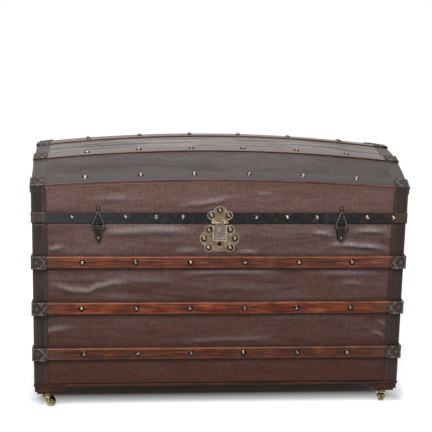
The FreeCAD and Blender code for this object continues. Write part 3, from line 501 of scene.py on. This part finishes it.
lidFolds = [
    (3.9, 6, [(-115, 500), (-54, 506), (-14, 512), (17, 521), (38, 524)]),
    (2.3, 5, [(66, 530), (79, 530), (109, 530), (130, 529)]),
    (1.8, 9, [(-330, 512), (-250, 519), (-180, 515)]),
]
# Fittings on the front that hold the cloth down: low and high x, low and high z.
heldPlaces = [(-54, 46, 390, 461), (-305, -271, 410, 461), (266, 300, 410, 461)]


def foldAt(folds, x, z):
    # how far the folds stand out at a point, how much painted highlight it takes on a crest and how much
    # painted shade in the trough under one
    rise, shares = 0.0, {"crest": 0.0, "hollow": 0.0}
    for height, width, line in folds:
        start, end = line[0][0], line[-1][0]
        if not start < x < end:
            continue
        for (xA, zA), (xB, zB) in zip(line, line[1:]):
            if xA <= x <= xB:
                middle = zA + (zB - zA) * smoothStep((x - xA) / (xB - xA))
        ends = smoothStep(min(x - start, end - x) / min(foldForm["fade"], (end - start) / 2))
        away = (z - middle) / width
        steep = away * (foldForm["below"] if away < 0 else foldForm["above"])
        rise += height * hump(steep, 0, 1) * ends
        for name, share in shares.items():
            peak, spread, most = foldForm[name]
            here = height / foldForm["tallest"] * ends * hump(away, peak, spread)
            shares[name] = min(most, max(share, here))
    return rise, shares["crest"], shares["hollow"]


def heldShare(places, x, z):
    share = 1.0
    for xLow, xHigh, zLow, zHigh in places:
        outside = max(xLow - x, x - xHigh, zLow - z, z - zHigh)
        share *= smoothStep(outside / clothForm["hold"])
    return share


def clothAt(along, z, zLow, zHigh, halfLength, folds, seed):
    free = min(z - zLow, zHigh - z, halfLength - clothForm["corner"] - abs(along))
    for low, high in slatRows.values():
        free = min(free, max(low.z / mm - z, z - high.z / mm))
    free = smoothStep(free / clothForm["hold"])
    ripple = rippleAt(along, z, clothForm["waves"], seed, seed)
    rise, crest, hollow = foldAt(folds, along, z)
    rise = max(0.0, clothForm["pillow"] + clothForm["ripple"] * ripple + rise) * free
    # ripples add a faint painted highlight and painted shade; cloth by slats, edges and corners gets painted
    # shade
    crest = max(crest, clothForm["rippleSheen"] * ripple)
    return rise, crest, max(hollow, -clothForm["rippleShade"] * ripple, clothForm["heldShade"] * (1 - free))


def cutLockHole(bm):
    low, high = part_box("lock_case")
    middles = [(face, face.calc_center_median()) for face in bm.faces]
    inside = [face for face, middle in middles if middle.y < 0 and low.x < middle.x < high.x
              and low.z < middle.z < high.z]
    bmesh.ops.delete(bm, geom=inside, context="FACES")


def makeCloth(name, body, node, topAt, foldLow, front, held=()):
    low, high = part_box(node)
    unitHigh = Vector((high.x, high.y, low.z + 1.0))  # one unit tall, then each column gets its own height
    bm, crest, hollow = startPiece("crest", "hollow")
    bmesh.ops.create_cube(bm, size=1.0, matrix=boxMatrix(low, unitHigh))
    bmesh.ops.delete(bm, geom=[face for face in bm.faces if abs(face.normal.z) > 0.9], context="FACES")
    cutAlong(bm, 0, round((high.x - low.x) / (clothForm["cellLong"] * mm)))
    cutAlong(bm, 1, round((high.y - low.y) / (clothForm["cellLong"] * mm)))
    cutAlong(bm, 2, round((topAt(0, high.y) - low.z) / (clothForm["cellTall"] * mm)))
    for vert in bm.verts:
        vert.co.z = low.z + (vert.co.z - low.z) * (topAt(vert.co.x, vert.co.y) - low.z)
    area = sum(face.calc_area() for face in bm.faces)
    seeds = clothForm["seeds"]
    for vert in bm.verts:
        x, y, z = vert.co / mm
        zHigh = topAt(vert.co.x, vert.co.y) / mm
        if vert.co.y < low.y + mm:
            outer, along, half, folds, seed = (0, -1, 0), x, high.x, front, seeds["front"]
        elif vert.co.y > high.y - mm:
            outer, along, half, folds, seed = (0, 1, 0), x, high.x, [], seeds["back"]
        else:
            outer, along, half, folds, seed = (math.copysign(1, x), 0, 0), y, high.y, [], seeds["end"] + x
        rise, vert[crest], vert[hollow] = clothAt(along, z, foldLow, zHigh, half / mm, folds, seed)
        vert.co += Vector(outer) * rise * heldShare(held, x, z) * mm
    cutLockHole(bm)  # the lid's cloth is all above it
    cloth = finishPiece(bm, name, body, bodyOilcloth, [node], sharp=80,
                        thickness=clothForm["thickness"])


# The cloth on the dome takes a painted sheen, strongest along the crown, in streaks, and painted shade in the
# darker streaks. The painted sheen and the painted shade have a level, a share of the streaks and a most.
domeClothForm = {
    "cells": (110, 140), "puff": 0.55, "hold": 20.0, "crown": 118.0, "crownFade": 16.0,
    "waves": ((150, 30), (45, 14), 0.5), "waveSeeds": (5.0, 9.0), "arch": (1.02, 1.04),
    "streaks": ((190, 13), (60, 7), 0.4), "streakSeeds": (31.0, 37.0), "crownSheen": (0.52, 0.8, 0.85),
    "dark": (-0.1, -0.8, 0.6)}


def makeDomeCloth():
    form = domeClothForm
    low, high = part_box("dome_canvas")
    bm, crest, hollow = startGrid(form["cells"], "crest", "hollow",
                                  matrix=Matrix.Diagonal((high.x, high.y, 1.0, 1.0)))
    for vert in bm.verts:
        x, y = vert.co.x / mm, vert.co.y / mm
        ripple = rippleAt(x, y, form["waves"], *form["waveSeeds"])
        streak = rippleAt(x, y, form["streaks"], *form["streakSeeds"])
        crown = smoothStep((form["crown"] - abs(y)) / form["crownFade"])
        # a painted sheen along the crown and painted shade in the darker streaks
        for layer, shade, share in ((crest, "crownSheen", crown), (hollow, "dark", 1.0)):
            level, gain, most = form[shade]
            vert[layer] = max(0.0, min(most, share * (level + gain * streak)))
        edge = smoothStep(min(high.x / mm - abs(x), high.y / mm - abs(y)) / form["hold"])
        puff = form["puff"] * (1 + ripple) * edge
        vert.co.z = domeLevel(vert.co.x, vert.co.y) + (domeForm["canvas"] + puff) * mm
    cloth = finishPiece(bm, "domeCloth", "lid", domeOilcloth, ["dome_canvas"], sharp=80,
                        thickness=clothForm["thickness"])


makeCloth("bodyCloth", "chest", "body_canvas", atParting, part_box("body_canvas")[0].z / mm,
          frontFolds, heldPlaces)
makeCloth("lidCloth", "lid", "lid_canvas", domeLevel, bandHigh.z / mm, lidFolds)
makeDomeCloth()
print("cloth stretched")

# The slats: sawn by hand, so their edges wander a little, and pale along the arrises, partly rubbed and
# partly a painted highlight. The straight ones are greyer near the clamps; the bent ones are greyer over all
# of their tops, a painted sheen.
slatForm = {
    "round": 2.6, "cell": 22.0, "wander": 0.45, "waves": (9, 7), "halfWidth": 13.5, "bentThickness": 4.5,
    "bentRound": 1.6, "wornAndHighlit": (0.05, 0.8), "bentWear": 0.12, "sheenFrom": 0.8, "sheenOver": 0.1,
    "weather": {"lower": 0.1, "middle": 0.0, "upper": 0.16}, "endWeather": 0.3, "endFrom": 330.0,
    "endOver": 90.0}
lidSlatRows = {"front_edge": -236.7, "front": -119.0, "crest": 0.0, "back": 119.0, "back_edge": 236.7}


def startSlat(low, high, outer, rounding):
    outer = Vector(outer)
    across = 1 if outer.z else 2
    middle = (low + high) / 2
    bm, wear, weather = startPiece("wear", "weather")
    bmesh.ops.create_cube(bm, size=1.0, matrix=boxMatrix(low, high))
    cutAlong(bm, 0, round((high.x - low.x) / (slatForm["cell"] * mm)))
    arrises = [edge for edge in bm.edges if runsAlong(edge, 0)
               and all((vert.co - middle).dot(outer) > 0 for vert in edge.verts)
               and len({round(face.normal.dot(outer)) for face in edge.link_faces}) > 1]
    softenEdges(bm, arrises, rounding * mm, 4)
    face = max((vert.co - middle).dot(outer) for vert in bm.verts)
    seed = middle.z * 31 + middle.y * 17  # no two slats wander alike
    wander, (sideWave, faceWave) = slatForm["wander"] * mm, slatForm["waves"]
    for vert in bm.verts:
        depth = (face - (vert.co - middle).dot(outer)) / (rounding * mm)
        vert[wear] = 1.0 if slatForm["wornAndHighlit"][0] < depth < slatForm["wornAndHighlit"][1] else 0.0
        vert.co[across] += wander * noise.noise(Vector((vert.co.x * sideWave, seed, 1.0)))
        if (vert.co - middle).dot(outer) > 0:
            vert.co += outer * wander * noise.noise(Vector((vert.co.x * faceWave, seed, 5.0)))
    return bm, wear, weather


def makeStraightSlats():
    allBack = bmesh.new()
    for row, (low, high) in slatRows.items():
        bm, wear, weather = startSlat(low, high, (0, -1, 0), slatForm["round"])
        for vert in bm.verts:
            nearEnd = smoothStep((abs(vert.co.x) / mm - slatForm["endFrom"]) / slatForm["endOver"])
            vert[weather] = slatForm["weather"][row] + slatForm["endWeather"] * nearEnd
        finishPiece(bm, "frontSlat_" + row, "chest", lowSlatAsh if row == "lower" else slatAsh,
                    ["front_slat_" + row])
        backLow, backHigh = Vector((low.x, -high.y, low.z)), Vector((high.x, -low.y, high.z))
        bm, wear, weather = startSlat(backLow, backHigh, (0, 1, 0), slatForm["round"])
        allBack.from_mesh(toTemplate(bm, "backSlat_" + row))
    finishPiece(allBack, "backSlats", "chest", slatAsh, ["back_slats"])


def onDome(x, y, acrossDome, lift):
    base = Vector((x, y + acrossDome, domeLevel(x, y + acrossDome) + domeForm["canvas"] * mm))
    return base + domeNormal(y) * lift


def makeBentSlats():
    halfWidth, thick = slatForm["halfWidth"] * mm, slatForm["bentThickness"] * mm
    for row, place in lidSlatRows.items():
        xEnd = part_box("lid_slat_" + row)[1].x
        bm, wear, weather = startSlat(Vector((-xEnd, -halfWidth, 0)), Vector((xEnd, halfWidth, thick)),
                                      (0, 0, 1), slatForm["bentRound"])
        for vert in bm.verts:
            # the tops take a painted sheen, drawn greyer
            vert[weather] = smoothStep((vert.co.z / thick - slatForm["sheenFrom"]) / slatForm["sheenOver"])
            vert[wear] *= slatForm["bentWear"]
            vert.co = onDome(vert.co.x, place * mm, vert.co.y, vert.co.z)
        finishPiece(bm, "lidSlat_" + row, "lid", edgeSlatAsh if "edge" in row else bentSlatAsh,
                    ["lid_slat_" + row])


makeStraightSlats()
makeBentSlats()
print("slats laid")

# Domed nails: a low dome, spun from its half outline of radius, rise and paleness: a painted highlight at
# the crown, dark at the rim.
nailForm = {"radius": 7.6, "bandRadius": 6.6, "rise": 0.6, "steps": 12, "edgeShift": 6.0, "bandLevel": 0.55,
            "outline": [(0.0, 1.0, 1.0), (0.3, 0.9, 0.55), (0.58, 0.56, 0.2), (0.72, 0.16, -0.3),
                        (1.0, 0.1, -0.1), (1.04, -0.15, -0.1)],
            "bandPlaces": (-348, -224, -153, -91, 82, 155, 226, 347, 410),
            "endPlaces": (-222, -110, 0, 110, 222)}
# Each row was spaced by eye, so no two are alike.
nailRows = {
    "lower": (-322, -194, -68, 59, 189, 311), "middle": (-327, -198, -72, 58, 184, 314),
    "upper": (-325, -201, -72, 57, 186, 313), "front_edge": (-318, -190, -65, 64, 192, 320),
    "front": (-317, -192, -65, 60, 192, 316), "crest": (-316, -189, -63, 60, 188, 321),
    "back": (-320, -186, -56, 73, 205, 340), "back_edge": (-317, -192, -66, 61, 191, 319),
}


def makeNailTemplate():
    bm, wear = startPiece("wear")
    verts = []
    for radius, rise, rub in nailForm["outline"]:
        verts.append(bm.verts.new((radius, 0, rise)))
        verts[-1][wear] = rub
    edges = [bm.edges.new(pair) for pair in zip(verts, verts[1:])]
    bmesh.ops.spin(bm, geom=verts + edges, axis=(0, 0, 1), cent=(0, 0, 0), angle=2 * math.pi,
                   steps=nailForm["steps"], use_merge=True)
    bmesh.ops.remove_doubles(bm, verts=bm.verts, dist=1e-4)
    bmesh.ops.recalc_face_normals(bm, faces=bm.faces)
    return toTemplate(bm, "nailTemplate")


nailTemplate = makeNailTemplate()


def makeNails(name, body, places, radius, material=nailBrass):
    # each place is a point and the way that the nail faces
    size = Matrix.Diagonal((radius * mm, radius * mm, nailForm["rise"] * radius * mm, 1.0))
    bm = bmesh.new()
    for point, outer in places:
        turn = Vector((0, 0, 1)).rotation_difference(Vector(outer)).to_matrix().to_4x4()
        stamp(bm, nailTemplate, [Matrix.Translation(point) @ turn @ size])
    finishPiece(bm, name, body, material, sharp=70)


def nailAll():
    body, top, band = [], [], []
    for row, (low, high) in slatRows.items():
        for side in (-1, 1):
            body += [((x * mm, -side * low.y, (low.z + high.z) / 2), (0, side, 0)) for x in nailRows[row]]
    for row, place in lidSlatRows.items():
        shift = math.copysign(nailForm["edgeShift"] * mm, -place) if "edge" in row else 0.0
        top += [(onDome(x * mm, place * mm, shift, slatForm["bentThickness"] * mm), domeNormal(place * mm))
                for x in nailRows[row]]
    level = bandLow.z + nailForm["bandLevel"] * (bandHigh.z - bandLow.z)
    for side in (-1, 1):
        band += [((x * mm, side * bandHigh.y, level), (0, side, 0)) for x in nailForm["bandPlaces"]]
        band += [((side * bandHigh.x, y * mm, level), (side, 0, 0)) for y in nailForm["endPlaces"]]
    makeNails("slatNails", "chest", body, nailForm["radius"])
    makeNails("lidSlatNails", "lid", top, nailForm["radius"], bandNailBrass)
    makeNails("bandNails", "lid", band, nailForm["bandRadius"], bandNailBrass)


nailAll()
print("nails driven")

# Leather: strips folded round the corners, whip stitched along both edges.
bindingForm = {"leg": 33.0, "thickness": 1.5, "round": 4.0, "paleSpan": 1.5, "cells": (36, 40)}
stitchForm = {
    "pitch": 6.7, "long": 11.0, "wide": 3.0, "tall": 1.4, "inset": 2.5, "sunk": 0.2, "lean": 12.0,
    "round": 0.3, "paleSpan": (-0.4, 0.0)}
# The turned ends of the rim band's cover, and the strip over each end of the dome, folded down its wall.
wrapForm = {"thickness": 0.8, "round": 3.0, "cells": (30, 6)}
endForm = {"fold": 18.0, "cells": (26, 72), "paleSpan": 6.0}


def foldPoint(along, corner, rounding):
    # along runs over the fold: below 0 on the end wall, above 0 on the long wall, from the outer corner
    if along > rounding:
        return Vector((corner.x + along, corner.y, 0)), Vector((0, -1, 0))
    if along < -rounding:
        return Vector((corner.x, corner.y - along, 0)), Vector((-1, 0, 0))
    turn = (along / rounding + 1) * math.pi / 4
    outer = Vector((-math.cos(turn), -math.sin(turn), 0))
    return Vector((corner.x + rounding, corner.y + rounding, 0)) + outer * rounding, outer


def makeStrips(name, body, material, skin, zLow, topAt, form, replaced=()):
    # one strip at the front left corner, then the other three; topAt gives its upper edge over a point
    bm, wear = startGrid(form["cells"], "wear")
    corner = Vector((-skin.x - form["thickness"] * mm, -skin.y - form["thickness"] * mm, 0))
    rounding = form["round"] * mm
    for vert in bm.verts:
        along, rise = vert.co.x * bindingForm["leg"] * mm, (vert.co.y + 1) / 2
        point, outer = foldPoint(along, corner, rounding)
        vert[wear] = max(0.0, 1 - abs(along) / (bindingForm["paleSpan"] * rounding))
        vert.co = Vector((point.x, point.y, zLow + rise * (topAt(point.x, point.y) - zLow)))
    faceOut(bm, (-1, -1, 0))
    finishPiece(copied(bm, fourCorners), name, body, material, replaced, sharp=60,
                thickness=form["thickness"])


def makeStitchTemplate():
    bm, wear = startPiece("wear")
    bmesh.ops.create_cube(bm, size=1.0)
    cutAlong(bm, 0, 2)
    topEdges = [edge for edge in bm.edges if max(vert.co.z for vert in edge.verts) > 0
                and len({tuple(round(part) for part in face.normal) for face in edge.link_faces}) > 1]
    softenEdges(bm, topEdges, stitchForm["round"], 2)
    # the span of the stitch that takes a painted highlight where it goes into the leather
    start, end = stitchForm["paleSpan"]
    for vert in bm.verts:
        vert[wear] = 1.0 if start < vert.co.x < end else 0.0
    return toTemplate(bm, "stitchTemplate")


stitchTemplate = makeStitchTemplate()


def makeBindings(name, body, skin, zLow, topAt, replaced):
    makeStrips(name, body, blackLeather, skin, zLow, topAt, bindingForm, replaced)
    leg, thick, pitch = bindingForm["leg"] * mm, bindingForm["thickness"] * mm, stitchForm["pitch"] * mm
    xOuter, yOuter = skin.x + thick, skin.y + thick
    inner, sunk = leg - stitchForm["inset"] * mm, thick * stitchForm["sunk"]
    size = Matrix.Diagonal((*[stitchForm[key] * mm for key in ("long", "wide", "tall")], 1.0))
    lean = Matrix.Rotation(math.radians(stitchForm["lean"]), 4, "Z")
    onFront = Matrix.Rotation(math.pi / 2, 4, "X")
    onEnd = Matrix.Rotation(-math.pi / 2, 4, "Y") @ Matrix.Rotation(math.pi / 2, 4, "Z")
    places = []
    for x, y, edge, turn in ((inner, sunk, (leg, 0.0), onFront), (sunk, inner, (0.0, leg), onEnd)):
        top = topAt(edge[0] - xOuter, edge[1] - yOuter)
        for step in range(int((top - zLow) / pitch)):
            place = Matrix.Translation((x - xOuter, y - yOuter, zLow + (step + 0.5) * pitch))
            places.append(place @ turn @ lean @ size)
    bm = bmesh.new()
    stamp(bm, stitchTemplate, places)
    finishPiece(copied(bm, fourCorners), name + "Stitches", body, waxedThread)


def makeEndBindings():
    leg, fold = bindingForm["leg"] * mm, endForm["fold"] * mm
    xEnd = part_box("lid_end_bindings")[0].x
    bm, wear = startGrid(endForm["cells"], "wear")
    for vert in bm.verts:
        along, y = (vert.co.x + 1) / 2 * (leg + fold) - fold, vert.co.y * lidSkinHigh.y
        x = xEnd + max(0.0, along)
        top = domeLevel(x, y) + (domeForm["canvas"] + bindingForm["thickness"]) * mm
        vert[wear] = max(0.0, 1 - abs(along) / (endForm["paleSpan"] * mm))
        vert.co = Vector((x, y, top + min(0.0, along)))
    finishPiece(copied(bm, bothEnds), "domeEndBindings", "lid", paleLeather,
                ["lid_end_bindings"], sharp=60, thickness=bindingForm["thickness"])


makeBindings("bodyBindings", "chest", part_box("body_canvas")[1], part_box("body_corner_bindings")[0].z,
             atParting, ["body_corner_bindings"])
makeBindings("lidBindings", "lid", lidSkinHigh, bandHigh.z, domeLevel, ["lid_corner_bindings"])
makeStrips("bandCornerWraps", "lid", wrapLeather, bandHigh, parting, lambda x, y: bandHigh.z, wrapForm)
makeEndBindings()
print("bindings stitched")

# Castings: clamps that turn the corners over the slats, and caps on the ends of the lid's slats.
clampForm = {
    "leg": 38.0, "half": 15.5, "plate": 2.0, "depth": 7.0, "relief": 1.5, "tongue": 7.0, "round": 2.5,
    "cells": (60, 26)}
capForm = {
    "length": 34.0, "half": 15.0, "thickness": 1.5, "drop": 20.0, "relief": 1.3, "tongue": 4.0, "skirt": 9.0,
    "cells": (44, 26)}
# The relief on both: middles and spreads along a casting and across it, as shares of its size, and heights.
reliefForm = {
    "rimAlong": (0.05, 0.06), "rimAcross": (0.88, 0.10), "rim": 0.8, "wave": (0.66, 0.12, 1.25), "rib": 0.09,
    "leafAlong": (0.30, 0.09), "leafAcross": (0, 0.42), "leaf": 0.8,
    "budAlong": (0.90, 0.07), "budAcross": (0.42, 0.20), "bud": 0.9}


def castRelief(along, across):
    # along 0 at the corner and 1 at the tongue, across -1 to 1: a rim, a waved rib, a leaf and two buds
    form, side = reliefForm, abs(across)
    middle, swing, turns = form["wave"]
    rim = hump(along, *form["rimAlong"]) + hump(side, *form["rimAcross"])
    rib = hump(along, middle + swing * math.cos(across * turns * math.pi), form["rib"])
    leaf = hump(along, *form["leafAlong"]) * hump(side, *form["leafAcross"])
    buds = hump(along, *form["budAlong"]) * hump(side, *form["budAcross"])
    return min(1.0, form["rim"] * rim + rib + form["leaf"] * leaf + form["bud"] * buds)


def startCasting(form):
    # a grid from -1 to 1 both ways, with a skirt pulled out of its rim
    bm, wear = startGrid(form["cells"], "wear")
    rim = [edge for edge in bm.edges if edge.is_boundary]
    made = bmesh.ops.extrude_edge_only(bm, edges=rim)
    return bm, wear, {item for item in made["geom"] if isinstance(item, bmesh.types.BMVert)}


def makeClamps():
    leg, half, plate = [clampForm[key] * mm for key in ("leg", "half", "plate")]
    clamps = bmesh.new()
    for low, high in slatRows.values():
        corner = Vector((-high.x - plate, low.y - plate, 0))
        bm, wear, skirt = startCasting(clampForm)
        for vert in bm.verts:
            across = vert.co.y
            along = vert.co.x * (leg - clampForm["tongue"] * mm * abs(across) ** 3)
            point, outer = foldPoint(along, corner, clampForm["round"] * mm)
            relief = castRelief(abs(along) / leg, across)
            lift = -clampForm["depth"] * mm if vert in skirt else clampForm["relief"] * mm * relief
            vert[wear] = 0.0 if vert in skirt else relief
            vert.co = Vector((point.x, point.y, (low.z + high.z) / 2 + across * half)) + outer * lift
        faceOut(bm, (-1, -1, 0))
        stamp(clamps, toTemplate(bm, "clamp"), fourCorners)
    finishPiece(clamps, "slatClamps", "chest", castIron, ["slat_clamps"], sharp=75)


def makeCaps():
    length, half, drop = [capForm[key] * mm for key in ("length", "half", "drop")]
    thick = (slatForm["bentThickness"] + capForm["thickness"]) * mm
    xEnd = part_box("lid_slat_caps")[1].x
    caps = bmesh.new()
    for place in lidSlatRows.values():
        bm, wear, skirt = startCasting(capForm)
        for vert in bm.verts:
            across = vert.co.y
            along = (vert.co.x + 1) / 2 * (length + drop) - drop
            relief = castRelief(abs(along) / length, across)
            lift = relief * capForm["relief"] * mm
            inward = capForm["skirt"] * mm if vert in skirt else 0.0
            vert[wear] = 0.0 if vert in skirt else relief
            if along >= 0:
                x = -xEnd + along * (1 - capForm["tongue"] * mm * abs(across) ** 3 / length)
                vert.co = onDome(x, place * mm, across * half, thick + lift - inward)
            else:
                base = onDome(-xEnd, place * mm, across * half, thick + along)
                vert.co = base + Vector((inward - lift, 0, 0))
        faceOut(bm, (-1, 0, 1))
        stamp(caps, toTemplate(bm, "cap"), bothEnds)
    finishPiece(caps, "lidSlatCaps", "lid", castIron, ["lid_slat_caps"], sharp=75)


makeClamps()
makeCaps()
print("castings fitted")

# The lock: domed rivets in the lobes of its plates, at x from the hasp's middle and z from the parting line.
lockForm = {
    "lower": [(-25, -16), (25, -16), (-36.5, -37), (36.5, -37), (-25.5, -59), (25.5, -59)],
    "upper": [(0, 31), (-20, 19), (20, 19)], "lowerRadius": 7.8, "upperRadius": 7.2, "recess": 3, "plate": 2}
# The latches: a rivet in the tip of each catch, and a domed finger end on each lever.
latchForm = {"catchRise": 36.0, "catchPlate": 1.5, "leverDrop": 34.0, "radius": 4.8}


def makeRivets():
    low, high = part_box("hasp")
    middle = (low.x + high.x) / 2
    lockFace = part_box("lock_plate")[0].y + lockForm["recess"] * mm  # behind the rim of the recess
    lidFace = -bandHigh.y - lockForm["plate"] * mm
    for row, name, body, face in (("lower", "lockRivets", "chest", lockFace),
                                  ("upper", "haspPlateRivets", "lid", lidFace)):
        places = [((middle + x * mm, face, parting + z * mm), (0, -1, 0)) for x, z in lockForm[row]]
        makeNails(name, body, places, lockForm[row + "Radius"], rivetBrass)


def makeLatchKnobs():
    catchFace = -bandHigh.y - latchForm["catchPlate"] * mm
    catches = []
    for lever in ("latch_lever_left", "latch_lever_right"):
        low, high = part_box(lever)
        middle = (low.x + high.x) / 2
        catches.append(((middle, catchFace, parting + latchForm["catchRise"] * mm), (0, -1, 0)))
        end = (middle, low.y, parting - latchForm["leverDrop"] * mm)
        makeNails(lever.replace("latch_lever", "leverKnob"), lever, [(end, (0, -1, 0))], latchForm["radius"],
                  knobIron)
    makeNails("catchRivets", "lid", catches, latchForm["radius"], knobIron)


makeRivets()
makeLatchKnobs()
print("lock and latches riveted")

# CAD solids that keep their own shape get a finish, and softened edges.
nodeFinishes = [
    (pineAlong, "bottom_board front_board back_board inner_lip lid_front_rail lid_back_rail lid_dome_panel"),
    (pineAcross, "left_end_board right_end_board lid_left_end lid_right_end"),
    (baseAsh, "plinth_rails corner_feet"),
    (bandIron, "lid_rim_band"),
    (blackIron, "hinge_body_leaves hinge_lid_leaves hinge_pins lock_case latch_bases latch_catches"),
    (blackIron, "latch_lever_left latch_lever_right handle_lugs end_handle_left end_handle_right"),
    (wireIron, "latch_loop_left latch_loop_right"),
    (lockBrass, "lock_plate"),
    (haspBrass, "hasp"),
    (tarnishedBrass, "hasp_pin hasp_plate lock_bolt"),
    (castorBrass, " ".join(name for name in nodes if name.startswith("castor_"))),
]
# Their edges are rounded by this many millimetres, where they are sharper than an angle.
edgeForm = {"weld": 0.005, "round": 0.5, "segments": 2, "angle": 35}
edgeRounds = {
    "lock_plate": 0.9, "hasp": 0.8, "hasp_plate": 0.8, "corner_feet": 1.5, "plinth_rails": 1.5,
    "lid_rim_band": 0.4, "latch_catches": 0.4, "latch_bases": 0.4}


def finishNode(name, material):
    node = nodes[name]
    node.data.materials.clear()
    node.data.materials.append(material)
    weld = node.modifiers.new("weld", "WELD")
    weld.merge_threshold = edgeForm["weld"] * mm
    rounding = node.modifiers.new("rounding", "BEVEL")
    rounding.width = edgeRounds.get(name, edgeForm["round"]) * mm
    rounding.segments = edgeForm["segments"]
    rounding.limit_method = "ANGLE"
    rounding.angle_limit = math.radians(edgeForm["angle"])


for finish, names in nodeFinishes:
    for name in names.split():
        finishNode(name, finish)
print("solids finished")

# Soft studio light: one large lamp high in front, a weaker one low on the right, one overhead.
lightForm = {
    "key": {"place": (-0.7, -2.15, 2.7), "size": 1.1, "power": 112.0},
    "fill": {"place": (1.9, -2.3, 0.9), "size": 1.6, "power": 6.0},
    "top": {"place": (0.0, 0.5, 2.4), "size": 1.6, "power": 8.0},
}
lightAim = Vector((0, -0.1, 0.3))
# The floor is lifted to white as it is seen, but not under the trunk, where its shadow stays.
# Its lift has a start and an end outside the trunk, then the least and the most.
stageForm = {
    "ambient": 0.10, "floorColour": "#b6bdc4", "lift": (-0.116, -0.026, 0.005, 0.9), "sideReach": 0.07,
    "radius": 6.0, "fade": (1.6, 3.2)}


def makeLights():
    for name, form in lightForm.items():
        data = bpy.data.lights.new(name + "Lamp", "AREA")
        data.energy = form["power"]
        data.size = form["size"]
        lamp = bpy.data.objects.new(name + "Lamp", data)
        place = Vector(form["place"])
        turn = (lightAim - place).to_track_quat("-Z", "Y").to_matrix().to_4x4()
        lamp.matrix_world = Matrix.Translation(place) @ turn
        bpy.context.scene.collection.objects.link(lamp)


def seenShare(add):
    path = add("LightPath").outputs
    share = path["Is Camera Ray"]
    for kind in ("Is Glossy Ray", "Is Transmission Ray"):
        share = add("Math", {"operation": "MAXIMUM"}, {0: share, 1: path[kind]})
    return share


def makeWorld():
    world = bpy.data.worlds.new("studioWorld")
    world.use_nodes = True
    bpy.context.scene.world = world
    add = partial(addNode, world.node_tree)
    strength = add("MapRange", {"range": (0, 1, stageForm["ambient"], 1)}, {"Value": seenShare(add)})
    background = world.node_tree.nodes["Background"].inputs
    background["Color"].default_value = (1, 1, 1, 1)
    join(strength, background["Strength"])


def makeFloor():
    bm = bmesh.new()
    bmesh.ops.create_circle(bm, cap_ends=True, segments=64, radius=stageForm["radius"])
    mesh = toTemplate(bm, "floor")
    floor = bpy.data.objects.new("floor", mesh)
    bpy.context.scene.collection.objects.link(floor)
    material, add, place = startMaterial("paleFloor")
    tree = material.node_tree
    tree.nodes.remove(tree.nodes["Principled BSDF"])
    diffuse = add("BsdfDiffuse", {"Color": stageForm["floorColour"]})
    reach = (cadHigh.x + stageForm["sideReach"], cadHigh.y, 0)
    sides = add("VectorMath", {"operation": "ABSOLUTE"}, {0: place})
    past = add("VectorMath", {"operation": "SUBTRACT", 1: reach}, {0: sides})
    parts = add("SeparateXYZ", {}, {0: past}).outputs
    outside = add("Math", {"operation": "MAXIMUM"}, {0: parts["X"], 1: parts["Y"]})
    liftShare = add("MapRange", {"range": stageForm["lift"]}, {"Value": outside})
    lift = add("Emission", {"Color": (1, 1, 1, 1)}, {"Strength": liftShare})
    lifted = add("AddShader", {}, {0: diffuse, 1: lift})
    seen = add("MixShader", {}, {0: seenShare(add), 1: diffuse, 2: lifted})
    away = add("VectorMath", {"operation": "LENGTH"}, {0: place})
    fade = add("MapRange", {"interpolation_type": "SMOOTHSTEP", "range": stageForm["fade"]}, {"Value": away})
    clear = add("BsdfTransparent")
    faded = add("MixShader", {}, {0: fade, 1: seen, 2: clear})
    join(faded, tree.nodes["Material Output"].inputs["Surface"])
    mesh.materials.append(material)


makeLights()
makeWorld()
makeFloor()
bpy.context.scene.view_settings.view_transform = "Standard"
print("stage lit")
